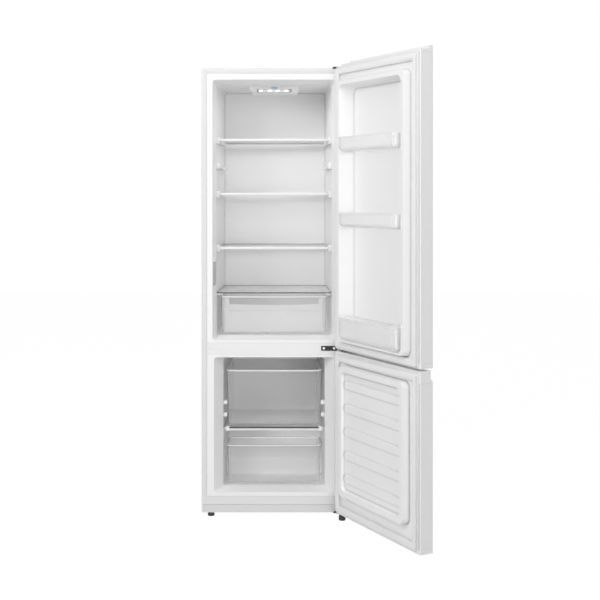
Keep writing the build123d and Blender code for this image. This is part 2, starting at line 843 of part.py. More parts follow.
def lower_freezer_drawer():
    """The shallow freezer drawer in front of the machine bay's step."""
    bottom = freezer_floor + fit_gap
    walls = drawer_walls(behind(drawer_front), lower_drawer_length, drawer_half, drawer_half - 3)
    shrink = tub_draft * drawer_band_drop / (lower_drawer_top - bottom)
    band = front_band(
        lower_drawer_top - drawer_band_drop, 3, walls, shrink, drawer_half - band_margin,
        band_rise,
    )
    return drawer(lower_drawer_top, bottom, walls) + band


def lamp_form(inset, top):
    """The boat-shaped front view of the ceiling unit, at an inset from its skin."""
    low = fridge_ceiling - fit_gap - lamp_drop + inset
    shoulder = fridge_ceiling - fit_gap - lamp_drop * 0.35
    x0, x1 = lamp_half - inset, lamp_low_half - inset
    bend = (x1 + (x0 - x1) * 0.8, low + (shoulder - low) * 0.35)
    edges = [
        Line((-x0, top), (-x0, shoulder)),
        ThreePointArc((-x0, shoulder), (-bend[0], bend[1]), (-x1, low)),
        Line((-x1, low), (x1, low)),
        ThreePointArc((x1, low), bend, (x0, shoulder)),
        Line((x0, shoulder), (x0, top)),
        Line((x0, top), (-x0, top)),
    ]
    return make_face(edges)


def lamp_housing():
    """The ceiling unit, a shallow boat-shaped shell with the wheel's slot, shelf and pin."""
    top = fridge_ceiling - fit_gap
    rear = behind(lamp_front + lamp_length)
    outer_place = Plane(origin=(0, rear, 0), x_dir=(1, 0, 0), z_dir=(0, -1, 0))
    inner_place = Plane(origin=(0, rear - 2, 0), x_dir=(1, 0, 0), z_dir=(0, -1, 0))
    body = extrude(outer_place * lamp_form(0, top), amount=lamp_length)
    body -= extrude(inner_place * lamp_form(2, top + 1), amount=lamp_length - 4)
    body -= lens_seat(0)
    front = behind(lamp_front)
    shelf_low = knob_low - knob_shelf - 2 * running_gap
    shelf_top = knob_low - 2 * running_gap
    reach = knob_radius + 2
    body += block(-reach, reach, front + 1, knob_y + reach, shelf_low, shelf_top)
    body += rod(0, knob_y, shelf_low, knob_low + knob_height + 1, knob_pin_radius)
    slot_half = knob_radius - 1.5
    return body - block(
        -slot_half, slot_half, front - 1, front + 2.5, shelf_top,
        shelf_top + knob_height + 4 * running_gap,
    )


def lens_seat(inset):
    """The space of the lamp's clear strip, along the unit's lower front edge."""
    low = fridge_ceiling - fit_gap - lamp_drop
    front = behind(lamp_front)
    half = lens_half - inset
    return block(
        -half, half, front - 2 + inset, front + lens_depth - inset, low - 2 + inset,
        low + lens_height - inset,
    )


def lamp_lens():
    """The clear strip over the lights, rounded along its lower front edge."""
    lens = lens_seat(fit_gap)
    edge = lens.edges().filter_by(Axis.X).group_by(Axis.Z)[0].sort_by(Axis.Y)[0:1]
    return fillet(edge, lens_height * 0.4)


def thermostat_knob():
    """The ribbed temperature wheel, whose edge stands out of the ceiling unit's front."""
    top = knob_low + knob_height
    wheel = rod(0, knob_y, knob_low, top, knob_radius)
    wheel = fillet(wheel.edges(), 0.8)
    notch = Pos(knob_radius + 1.4, 0, knob_low + knob_height / 2) * Cylinder(2.0, knob_height + 2)
    notches = [Pos(0, knob_y, 0) * Rot(0, 0, turn * 15) * notch for turn in range(24)]
    return wheel - notches - rod(0, knob_y, knob_low - 1, top + 1, knob_pin_radius + running_gap)


def hinge_arm(z, x0, x1, root_y):
    """A flat arm from the cabinet to the hinge axis, round at its end."""
    half = hinge_arm_half
    end = rod(hinge_x, hinge_y, z, z + hinge_plate, half)
    web = block(hinge_x - half, hinge_x + half, hinge_y, root_y, z, z + hinge_plate)
    foot = block(x0, x1, root_y - 10, root_y, z, z + hinge_plate)
    return end + web + foot


def top_hinge():
    """The upper hinge: a plate screwed to the cabinet's top, with its pin pointing down."""
    z = cabinet_height
    top = z + hinge_plate
    root_y = flange_y + 12
    left = hinge_x - top_plate_reach
    right = hinge_x + 8
    plate = block(left, right, root_y - 4, root_y + 46, z, top)
    pin = rod(hinge_x, hinge_y, z - hinge_pin_length, top, hinge_pin_radius)
    gusset = Pos(0, 0, z) * extrude(make_face(Polyline(
        (left, root_y), (left, flange_y + 2), (
            hinge_x - hinge_arm_half, hinge_y + 14,
        ), (hinge_x, root_y), close=True,
    )), amount=hinge_plate)
    bracket = plate + hinge_arm(z, left, right, root_y) + gusset + pin
    for x, y in top_screw_places():
        bracket -= rod(x, y, z - 1, top + 1, screw_radius + fit_gap)
    return bracket


def top_screw_places():
    """The (x, y) places of the upper hinge's three screws."""
    left = hinge_x - top_plate_reach
    return [(left + 8, flange_y + 24), (hinge_x - 2, flange_y + 24), (left + 18, flange_y + 46)]


def top_hinge_cover():
    """The low snap-on cover over the upper hinge's screws."""
    z = cabinet_height
    wall = 1.4
    x0, x1 = hinge_x - top_plate_reach - 2, hinge_x + hinge_arm_half + 2
    y0, y1 = flange_y + 4, flange_y + 62
    body = block(x0, x1, y0, y1, z, z + top_cover_height)
    body = fillet(body.edges().filter_by(Axis.Z), 5)
    body = fillet(body.faces().sort_by(Axis.Z)[-1].edges(), 1.5)
    body -= block(x0 + wall, x1 - wall, y0 + wall, y1 - wall, z - 1, z + top_cover_height - wall)
    return body - block(x0 + wall, x1 - wall, y0 - 1, y0 + 3, z - 1, z + hinge_plate + fit_gap)


def middle_hinge():
    """The middle hinge: an upright plate with an arm and a pin above and below it."""
    left = middle_plate_right - middle_plate_width
    plate = block(
        left, middle_plate_right, flange_y - hinge_plate, flange_y,
        hinge_level - middle_plate_height / 2, hinge_level + middle_plate_height / 2,
    )
    plate = fillet(plate.edges().filter_by(Axis.Y), 2.5)
    z = hinge_level - hinge_plate / 2
    arm = hinge_arm(z, middle_plate_right - 4, hinge_x + 8, flange_y)
    pin = rod(
        hinge_x, hinge_y, hinge_level - hinge_pin_length, hinge_level + hinge_pin_length,
        hinge_pin_radius,
    )
    hinge = plate + arm + pin
    for x, z_hole in middle_screw_places():
        hinge -= Pos(x, flange_y, z_hole) * Rot(90, 0, 0) * Cylinder(
            screw_radius + fit_gap, 4 * hinge_plate,
        )
    return hinge


def bottom_hinge():
    """The lower hinge: a stepped bracket under the base, with its pin, collar and foot nut."""
    top = bottom_arm_top
    z = top - hinge_plate
    root = base_low - hinge_plate
    left = hinge_x - top_plate_reach
    right = hinge_x + 6
    plate = block(left, right, flange_y - 4, flange_y + 48, root, base_low)
    riser = block(left, right, flange_y - 4, flange_y - 1, root, top)
    gusset = Pos(0, 0, z) * extrude(make_face(Polyline(
        (left, flange_y - 2), (left + 4, flange_y - 12), (
            hinge_x - hinge_arm_half, hinge_y + 6,
        ), (hinge_x, flange_y - 2), close=True,
    )), amount=hinge_plate)
    nose = rod(right_foot_x, right_foot_y, z, top, 12)
    nut = Pos(right_foot_x, right_foot_y, top) * extrude(RegularPolygon(nut_radius, 6), amount=4.5)
    collar = rod(hinge_x, hinge_y, top, lower_door_bottom - fit_gap, collar_radius)
    pin = rod(hinge_x, hinge_y, z, lower_door_bottom + hinge_pin_length, hinge_pin_radius)
    bracket = plate + riser + gusset + hinge_arm(z, left, right, flange_y - 1) + nose + nut + collar + pin
    bracket -= rod(right_foot_x, right_foot_y, z - 1, top + 5, foot_stem_radius + running_gap)
    for x, y in bottom_screw_places():
        bracket -= rod(x, y, root - 1, base_low + 1, screw_radius + fit_gap)
    return bracket


def bottom_screw_places():
    """The (x, y) places of the lower hinge's two screws."""
    y = flange_y + 30
    return [(hinge_x - top_plate_reach + 8, y), (hinge_x - 2, y)]


def hinge_screws():
    """The domed screws of the three hinges."""
    screws = []
    for x, z in middle_screw_places():
        outer = flange_y - hinge_plate
        head = Pos(x, outer - screw_head_height / 2, z) * Rot(90, 0, 0) * Cylinder(
            screw_head_radius, screw_head_height,
        )
        head = fillet(head.edges().sort_by(Axis.Y)[0:1], 1.2)
        screws.append(head + Pos(x, flange_y, z) * Rot(90, 0, 0) * Cylinder(screw_radius, 2 * hinge_plate))
    for x, y in bottom_screw_places():
        low = base_low - hinge_plate
        head = fillet(
            rod(x, y, low - screw_head_height, low, screw_head_radius).edges().sort_by(Axis.Z)[0:1],
            1.2,
        )
        screws.append(head + rod(x, y, low - 0.5, base_low, screw_radius))
    for x, y in top_screw_places():
        z = cabinet_height + hinge_plate
        head = fillet(
            rod(x, y, z, z + screw_head_height, screw_head_radius).edges().sort_by(Axis.Z)[-1:],
            1.2,
        )
        screws.append(head + rod(x, y, cabinet_height, z + 0.5, screw_radius))
    return screws


def foot(x, y, neck):
    """A levelling foot: a round pad with a fluted rim on a threaded stem."""
    pad = rod(x, y, -foot_height, neck, foot_radius)
    pad = fillet(pad.edges().sort_by(Axis.Z)[0:1], 1.5)
    flute_height = neck + foot_height
    flute = Pos(foot_radius + 1.4, 0, neck - flute_height / 2 + 4) * Cylinder(2.6, flute_height)
    return pad - [Pos(x, y, 0) * Rot(0, 0, 30 * turn) * flute for turn in range(12)]


def left_foot():
    """The left foot, screwed up into the base plate."""
    stem = rod(left_foot_x, left_foot_y, -2, foot_stem_top, foot_stem_radius)
    return foot(left_foot_x, left_foot_y, -fit_gap) + stem


def right_foot():
    """The right foot, screwed up into the lower hinge."""
    underside = bottom_arm_top - hinge_plate - fit_gap
    stem = rod(right_foot_x, right_foot_y, underside - 2, bottom_arm_top + 4, foot_stem_radius)
    return foot(right_foot_x, right_foot_y, underside) + stem


def roller_bracket(side):
    """A channel over the roller: two cheeks, a top and the axle pin."""
    x = side * roller_x
    cheek = 2.0
    inner = roller_width / 2 + fit_gap
    outer = inner + cheek
    length = roller_radius - 1
    top = roller_z + roller_radius + 3
    low = roller_z - 6
    body = block(x - outer, x + outer, roller_y - length, roller_y + length, low, top)
    body -= block(x - inner, x + inner, roller_y - length - 1, roller_y + length + 1, low - 1, top - cheek)
    wing = block(
        x - outer - 8, x + outer + 8, roller_y - length, roller_y + length, base_top,
        base_top + cheek,
    )
    wing -= block(
        x - inner, x + inner, roller_y - length - 1, roller_y + length + 1, 0,
        base_top + cheek + 1,
    )
    pin = cross_rod(x - outer, x + outer, roller_y, roller_z, roller_pin_radius)
    return body + wing + pin


def roller(side):
    """A rear transport roller with a groove round its tread."""
    x = side * roller_x
    half = roller_width / 2
    wheel = cross_rod(x - half, x + half, roller_y, roller_z, roller_radius)
    wheel = fillet(wheel.edges().filter_by(GeomType.CIRCLE), 1.2)
    bore = cross_rod(x - half - 1, x + half + 1, roller_y, roller_z, roller_pin_radius + running_gap)
    return wheel - bore


def compressor():
    """The sealed compressor: two pressed cups welded at a flange, on a mounting plate."""
    def can(shrink):
        body = rod(0, 0, compressor_base + 6 + shrink, compressor_top - shrink, compressor_radius - shrink)
        circles = body.edges().filter_by(GeomType.CIRCLE).sort_by(Axis.Z)
        body = fillet(circles[-1:], compressor_crown_radius - shrink)
        circles = body.edges().filter_by(GeomType.CIRCLE).sort_by(Axis.Z)
        return fillet(circles[0:1], compressor_sump_radius - shrink)

    shell = can(0) - can(compressor_shell)
    seam = Pos(0, 0, compressor_seam) * (
        Cylinder(compressor_radius + 5, 5) - Cylinder(compressor_radius - 1, 6)
    )
    length = mount_spacing_x + 2 * mount_plate_margin
    width = mount_spacing_y + 2 * mount_plate_margin
    plate = Pos(0, 0, compressor_base + 1.5) * Box(length, width, 3)
    plate = fillet(plate.edges().filter_by(Axis.Z), mount_plate_margin - 1)
    stub = rod(0, 0, compressor_base + 2, compressor_base + 6.5, compressor_radius * 0.5)
    body = shell + seam + stub + plate
    for x, y in mount_places():
        body -= rod(x, y, compressor_base - 1, compressor_base + 4, grommet_neck + fit_gap)
    return Pos(compressor_x, compressor_y, 0) * body


def mount_places():
    """The four rubber mounts' places, from the compressor's centre."""
    x, y = mount_spacing_x / 2, mount_spacing_y / 2
    return [(-x, -y), (-x, y), (x, -y), (x, y)]


def compressor_mounts():
    """Waisted rubber grommets that carry the compressor on the base plate."""
    mounts = []
    for x, y in mount_places():
        low = base_top
        body = rod(x, y, low, compressor_base, 13)
        body += rod(x, y, low, compressor_base + 6, grommet_neck)
        body += rod(x, y, compressor_base + 3 + fit_gap, compressor_base + 9, 10)
        body = fillet(body.edges().filter_by(GeomType.CIRCLE).sort_by(Axis.Z)[0:1], 3)
        mounts.append(Pos(compressor_x, compressor_y, 0) * body)
    return mounts


def relay_box():
    """The start relay's cover on the compressor's side."""
    x = compressor_x - compressor_radius - 14
    z = compressor_base + 40
    box = Pos(x, compressor_y, z) * Box(36, 46, 52)
    box = fillet(box.edges().filter_by(Axis.Z).sort_by(Axis.X)[0:2], 6)
    return box - Pos(compressor_x, compressor_y, z) * Cylinder(compressor_radius + fit_gap, 60)


def drip_tray():
    """The open tray on the compressor's crown, where the melt water dries off."""
    z = compressor_top + fit_gap
    height = 20.0

    def form(inset, low, high):
        outlines = []
        for level, half_x, half_y in ((low, 84.0, 58.0), (high, 90.0, 64.0)):
            x, y = half_x - inset, half_y - inset
            outlines.append(
                flat_outline(
                    level, compressor_x - x, compressor_x + x, compressor_y - y, compressor_y + y,
                    18.0 - inset,
                )
            )
        return loft(outlines, ruled=True)

    return form(0, z, z + height) - form(2, z + 2, z + height + 1)


def filter_drier():
    """The copper drier between condenser and capillary."""
    end, body = tube_radius, 9.0
    taper = 12.0
    profile = Polyline(
        (0, drier_bottom),
        (end, drier_bottom),
        (body, drier_bottom + taper),
        (body, drier_top - taper),
        (end, drier_top),
        (0, drier_top),
        close=True,
    )
    return Pos(drier_x, drier_y, 0) * revolve(Plane.XZ * make_face(profile), Axis.Z)


def bent_tube(points, bend):
    """A round tube along straight runs with rounded corners."""
    path = FilletPolyline(*points, radius=bend)
    start = Plane(origin=path @ 0, z_dir=path % 0)
    return sweep(start * Circle(tube_radius), path=path)


def refrigerant_tubes():
    """The bay's tubes, from the compressor and the drier into the bay's wall and roof."""
    offset = 12.0
    x = compressor_x + sqrt(compressor_radius ** 2 - (offset - tube_radius) ** 2) + running_gap
    level = compressor_base + 54
    wall = bay_front_y + bay_sheet
    roof = bay_height - bay_sheet
    near, far = x + 40, x + 60
    y = compressor_y - offset
    suction = bent_tube(
        [(x, y, level), (near, y, level), (near, y, level + 50), (near, wall, level + 50)], 12,
    )
    y = compressor_y + offset
    discharge = bent_tube([(x, y, level), (far, y, level), (far, y, roof)], 12)
    bend_level = drier_top + 20
    side = drier_x - 50
    capillary = bent_tube(
        [
            (drier_x, drier_y, drier_top), (drier_x, drier_y, bend_level),
            (side, drier_y, bend_level), (side, drier_y, roof),
        ],
        10,
    )
    low = drier_bottom - 24
    feed = bent_tube([(drier_x, drier_y, drier_bottom), (drier_x, drier_y, low), (drier_x, wall, low)], 12)
    return [suction, discharge, capillary, feed]


def cord_inlet():
    """The strain-relief bush in the bay's edge, where the supply lead leaves."""
    x = -half_width + 84
    bush = Pos(x, back_y - 20, base_top + 8) * (Box(26, 20, 16) - Rot(90, 0, 0) * Cylinder(4, 30))
    return fillet(bush.edges().filter_by(Axis.Y).group_by(Axis.Z)[-1], 4)


def door_plan(inset, y1, back_radius):
    """A door's plan outline at an inset from its skin, up to a plane on the inner side."""
    half = half_width - inset
    front = door_outer_y + inset
    face = make_face(Polyline((-half, y1), (-half, front), (half, front), (half, y1), close=True))
    front_corners = face.vertices().group_by(Axis.Y)[0]
    face = fillet(front_corners, max(door_edge_radius - inset, 1.0))
    if back_radius > 0:
        face = fillet(face.vertices().group_by(Axis.Y)[-1], back_radius)
    return face


def door_slab(inset, y1, z0, z1, back_radius=door_back_radius):
    """A full-width slab of the door's plan between two levels."""
    return Pos(0, 0, z0) * extrude(door_plan(inset, y1, back_radius), amount=z1 - z0)


def door_skin(z0, z1):
    """The folded steel skin: front, both sides, the rounded lips and the ledges for the liner."""
    lip_inner = door_inner_y - door_sheet
    ledge_y = door_inner_y - door_groove_depth
    body = door_slab(0, door_inner_y, z0, z1)
    body -= door_slab(door_sheet, lip_inner, z0 - 1, z1 + 1, door_back_radius - door_sheet)
    mouth = half_width - door_lip
    body -= block(-mouth, mouth, lip_inner - 1, door_inner_y + 1, z0 - 1, z1 + 1)
    for side in (-1, 1):
        outer = side * (mouth + door_sheet)
        inner = side * (half_width - door_ledge)
        body += block(min(outer, inner), max(outer, inner), ledge_y - door_sheet, ledge_y, z0, z1)
        wall = side * mouth
        body += block(min(outer, wall), max(outer, wall), ledge_y - door_sheet, door_inner_y, z0, z1)
    return swing(body)


def door_foam(z0, z1, plug, hollow):
    """The insulation that fills a door between skin, caps and liner."""
    edge = door_sheet + fit_gap
    body = door_slab(edge, door_inner_y - door_liner_wall - fit_gap, z0 + fit_gap, z1 - fit_gap, 0)
    corner = half_width - door_ledge - fit_gap
    deep = door_inner_y - door_groove_depth - door_sheet - fit_gap
    for x0, x1 in ((-half_width, -corner), (corner, half_width)):
        body -= block(x0, x1, deep, door_inner_y, z0, z1)
    body = body + plug - hollow
    socket = hinge_pin_radius + socket_wall + fit_gap
    reach = hinge_pin_length + socket_wall
    body -= rod(hinge_x, hinge_y, z0 - 1, z0 + reach, socket)
    body -= rod(hinge_x, hinge_y, z1 - reach, z1 + 1, socket)
    return swing(body)


def pin_socket(z0, z1):
    """The round boss in a door cap that turns on a hinge pin."""
    return rod(hinge_x, hinge_y, z0, z1, hinge_pin_radius + socket_wall)


def pin_bore(z0, z1):
    """The bore that a hinge pin runs in."""
    return rod(hinge_x, hinge_y, z0, z1, hinge_pin_radius + running_gap)


def cap_body(z0, z1, seam_z):
    """A door cap's slab, with a shallow step round the edge that meets the skin."""
    body = door_slab(0, door_inner_y, z0, z1)
    step = door_slab(-1, door_inner_y + 1, seam_z - cap_seam, seam_z + cap_seam, 0)
    return body - (step - door_slab(cap_seam, door_inner_y + 2, seam_z - 2, seam_z + 2, 0))


def upper_top_cap():
    """The upper door's top cap: its front edge stands up, and its hinge end lies low."""
    z0 = upper_door_top - upper_door_cap
    body = cap_body(z0, upper_door_top, z0)
    rise = upper_door_top - upper_door_shoulder
    slope = [
        (door_outer_y + 14, upper_door_top + 1),
        (door_outer_y + 20, upper_door_shoulder + 3),
        (door_outer_y + 30, upper_door_shoulder),
        (door_inner_y + 1, upper_door_shoulder),
        (door_inner_y + 1, upper_door_top + rise),
        (door_outer_y + 14, upper_door_top + rise),
    ]
    body -= side_profile(slope, -half_width - 1, half_width + 1)
    low_end = hinge_x - 24
    body -= block(
        low_end, half_width + 1, door_outer_y - 1, door_inner_y + 1, cabinet_height - 1,
        upper_door_top + 1,
    )
    inside = half_width - 2 * cap_wall
    y0 = door_outer_y + 2 * cap_wall
    y1 = door_inner_y - 2 * cap_wall
    body -= block(-inside, low_end - cap_wall, y0, y1, z0 - 1, upper_door_shoulder - cap_wall)
    body += pin_socket(cabinet_height - hinge_pin_length - socket_wall, z0 + 1)
    body -= pin_bore(cabinet_height - hinge_pin_length - 1, upper_door_top)
    return swing(body)


def upper_bottom_cap():
    """The upper door's bottom cap, with a finger recess in its underside."""
    z0 = upper_door_bottom
    z1 = z0 + cap_height
    body = cap_body(z0, z1, z1)
    recess = block(
        -half_width + 30, half_width - 120, door_outer_y + 12, door_outer_y + 36, z0 - 1,
        z1 - cap_wall,
    )
    body -= fillet(recess.edges().filter_by(Axis.Z), 8)
    body += pin_socket(z0, hinge_level + hinge_pin_length + socket_wall)
    body -= pin_bore(z0 - 1, hinge_level + hinge_pin_length + 1)
    return swing(body)


def lower_top_cap():
    """The lower door's top cap, set back along its front edge as a full-width grip."""
    z1 = lower_door_top
    z0 = z1 - grip_cap_height
    body = cap_body(z0, z1, z0)
    cut = [
        (door_outer_y - 1, z1 + 1),
        (door_outer_y - 1, z0 + 1.5),
        (door_outer_y, z0 + 2.5),
        (door_outer_y + grip_depth, z1 - grip_height),
        (door_outer_y + grip_depth, z1 + 1),
    ]
    body -= side_profile(cut, -half_width - 1, half_width + 1)
    y0 = door_outer_y + grip_depth - 1
    scoop = block(-half_width + 60, half_width - 110, y0, y0 + 15, z1 - grip_height - 6, z1 - 5)
    body -= fillet(scoop.edges().filter_by(Axis.Y), 5)
    body -= pin_bore(hinge_level - hinge_pin_length - 1, z1 + 1)
    return swing(body)


def lower_bottom_cap():
    """The lower door's bottom cap, which turns on the lowest pin."""
    z0 = lower_door_bottom
    z1 = z0 + cap_height
    body = cap_body(z0, z1, z1)
    body += pin_socket(z0, z0 + hinge_pin_length + socket_wall)
    body -= pin_bore(z0 - 1, z0 + hinge_pin_length + 1)
    return swing(body)


def door_panel(z0, z1):
    """The flat sheet of a door's liner between the skin's returns."""
    half = half_width - door_lip - door_groove
    return block(-half, half, door_inner_y - door_liner_wall, door_inner_y, z0, z1)


def raised_form(size, rise, shrink, sink):
    """A plug that stands out of a door's inner plane, drafted on every side."""
    half, z0, z1 = size
    root_outline = (half - shrink, z0 + shrink, z1 - shrink, dike_radius - shrink)
    root = (door_inner_y - door_liner_wall, *root_outline)
    inner = shrink + plug_draft
    crest = (door_inner_y + rise, half - inner, z0 + inner, z1 - inner, dike_radius - inner)
    form = tapered(root, crest)
    if sink:
        form += tapered((door_inner_y - door_liner_wall - sink, *root_outline), root)
    return form


def pan_form(grow, extra):
    """The pan sunk into the upper door's liner between its dikes."""
    wide = dike_half - dike_top_width + grow
    narrow = wide - pan_draft
    crest_y = door_inner_y + dike_rise + extra
    low = fridge_dike_bottom + pan_sill - grow
    high = fridge_dike_top - dike_top_width + grow
    floor_y = door_inner_y - pan_depth - grow
    floor = (floor_y, narrow, low + pan_sill_draft, high - pan_draft, dike_radius + grow)
    crest = (crest_y, wide, low, high, dike_radius + grow)
    return tapered(floor, crest)


def upper_door_liner():
    """The upper door's moulded liner: a dike all round, a sunk pan and the bins' lugs."""
    wall = door_liner_wall
    panel = door_panel(upper_door_bottom + cap_height + fit_gap, upper_door_top - upper_door_cap - fit_gap)
    shell = panel + raised_form(dike_size(), dike_rise, 0, 0) - raised_form(
        dike_size(), dike_rise - wall, wall, 1,
    )
    shell += pan_form(wall, 0) - pan_form(0, 1)
    shell -= pan_form(0, 1)
    return swing(shell + bin_lugs())


def dike_size():
    """The upper door's dike: half its width, its bottom and its top."""
    return dike_half, fridge_dike_bottom, fridge_dike_top


def plug_size():
    """The lower door's plug: half its width, its bottom and its top."""
    return freezer_plug_half, freezer_plug_bottom, freezer_plug_top


def bin_lugs():
    """Pairs of lugs on the pan's side walls that the bins' rims hang on."""
    lugs = []
    for level, height in bin_rows.values():
        top = level + height - bin_rim - fit_gap
        for side in (-1, 1):
            outer = side * (dike_half - dike_top_width + door_liner_wall)
            inner = side * (bin_half() + fit_gap)
            y0 = door_inner_y - 8
            y1 = door_inner_y + 12
            lug = block(min(outer, inner), max(outer, inner), y0, y1, top - bin_lug_height, top)
            lugs.append(lug & pan_form(door_liner_wall / 2, 0))
    return lugs


def bin_half():
    """Half the width of a bin's walls, clear of the lugs."""
    return dike_half - dike_top_width - pan_draft - bin_lug


def door_bin(level, height):
    """A clear door bin: flat back, bowed front, a thick base lip and rims that hang on the lugs."""
    half = bin_half()
    back = door_inner_y - pan_depth + fit_gap
    front = back + bin_reach

    def form(inset, z0, z1, base_radius):
        x = half - inset
        y0, y1 = back + inset, front - bin_bow - inset
        bow = ThreePointArc((x, y1), (0, y1 + bin_bow), (-x, y1))
        face = make_face([bow, Polyline((-x, y1), (-x, y0), (x, y0), (x, y1))])
        face = fillet(face.vertices().group_by(Axis.Y)[-1], bin_corner - inset)
        body = Pos(0, 0, z0) * extrude(face, amount=z1 - z0)
        if base_radius:
            body = fillet(body.faces().sort_by(Axis.Z)[0].edges().sort_by(Axis.Y)[1:], base_radius)
        return body

    body = form(0, level, level + height, bin_base_radius)
    body -= form(bin_wall, level + bin_wall, level + height + 1, bin_base_radius - bin_wall)
    rim_top = level + height
    for side in (-1, 1):
        inner = side * (half - bin_wall / 2)
        outer = side * (half + bin_lug - 0.5)
        y0, y1 = door_inner_y - 12, door_inner_y + 14
        body += block(min(inner, outer), max(inner, outer), y0, y1, rim_top - bin_rim, rim_top)
    bead = form(
        -bin_lip, rim_top - bin_lip_height / 2, rim_top, 0,
    ) - form(bin_wall / 2, level, rim_top + 1, 0)
    front_half = block(-half - 9, half + 9, door_inner_y + dike_rise + 2, front + 9, level, rim_top + 1)
    return swing(body + (bead & front_half))


def lower_door_liner():
    """The lower door's moulded liner: a border with a ribbed panel inside it."""
    wall = door_liner_wall
    panel = door_panel(lower_door_bottom + cap_height + fit_gap, lower_door_top - grip_cap_height - fit_gap)
    outside = raised_form(plug_size(), freezer_plug_rise, 0, 0)
    inside = raised_form(plug_size(), freezer_plug_rise - wall, wall, 1)
    shell = panel + outside - inside + sunk_panel(wall, 0) - sunk_panel(0, 1)
    sunk_y = door_inner_y + freezer_plug_rise - freezer_panel_sink
    middle = (freezer_plug_bottom + freezer_plug_top) / 2
    for row in range(panel_rib_count):
        z = middle + (row - (panel_rib_count - 1) / 2) * panel_rib_pitch
        low_z = z - panel_rib_width / 2
        high_z = z + panel_rib_width / 2
        radius = panel_rib_width * 0.45
        rib = tapered(
            (sunk_y - 0.5, panel_rib_half, low_z, high_z, radius),
            (sunk_y + panel_rib_rise, panel_rib_half - 3, low_z + 3, high_z - 3, radius - 3),
        )
        shell += rib
    return swing(shell)


def sunk_panel(grow, extra):
    """The recess inside the lower door's border."""
    half, low, high = plug_size()
    crest_y = door_inner_y + freezer_plug_rise
    border = freezer_border - grow
    inner = border + freezer_border_draft
    floor = (
        crest_y - freezer_panel_sink - grow, half - inner, low + inner, high - inner,
        sunk_radius + grow,
    )
    crest = (
        crest_y + extra, half - border, low + border, high - border,
        sunk_radius + freezer_border_draft + grow,
    )
    return tapered(floor, crest)


def gasket(z0, z1):
    """The magnetic door seal: a bellows strip mitred into a frame."""
    def ring(offset, width, y0, y1):
        half = half_width - offset
        outer = block(-half, half, y0, y1, z0 + offset, z1 - offset)
        inner_half = half - width
        return outer - block(
            -inner_half, inner_half, y0 - 1, y1 + 1, z0 + offset + width, z1 - offset - width,
        )

    start = door_lip + door_groove + 2
    neck_y = door_inner_y + gasket_thick * 0.25
    bulb_y = door_inner_y + gasket_thick * 0.6
    foot_ring = ring(start, gasket_width, door_inner_y, neck_y)
    neck = ring(start + 6, gasket_width - 13, neck_y, bulb_y)
    bulb = ring(start + 2, gasket_width - 7, bulb_y, door_inner_y + gasket_thick)
    return swing(foot_ring + neck + bulb)


def door_stop():
    """The flat stop under the upper door's hinge end, held by the bottom cap."""
    z1 = upper_door_bottom
    x0 = half_width - 110
    plate = block(x0, hinge_x - 14, door_inner_y - 32, door_inner_y - 4, z1 - 2, z1)
    return swing(fillet(plate.edges().filter_by(Axis.Z), 4))


# Places shared by several pieces
hinge_level = (upper_door_bottom + lower_door_top) / 2
left_foot_x = -half_width + 36
left_foot_y = flange_y + 14
right_foot_x = hinge_x - 5
right_foot_y = hinge_y - 9
roller_x = half_width - 34
roller_y = back_y - 26
roller_z = roller_radius - foot_height
roller_slot_half = roller_width / 2 + 4
grommet_neck = 6.0
knob_y = behind(lamp_front) + knob_radius - knob_stand_out
knob_low = fridge_ceiling - fit_gap - lamp_drop + lens_height + knob_shelf + 2 * fit_gap
evaporator_thick = 4.0
evaporator_gap = liner_wall + 2 * fit_gap
fridge_evaporator_place = (
    fridge_back_half - 41, lowest_shelf + 17, fridge_ceiling - 111, behind(fridge_depth) + evaporator_gap,
)
freezer_evaporator_place = (
    freezer_back_half - 37, freezer_shelf_level + 17, freezer_ceiling - 40, behind(
        freezer_depth
    ) + evaporator_gap,
)


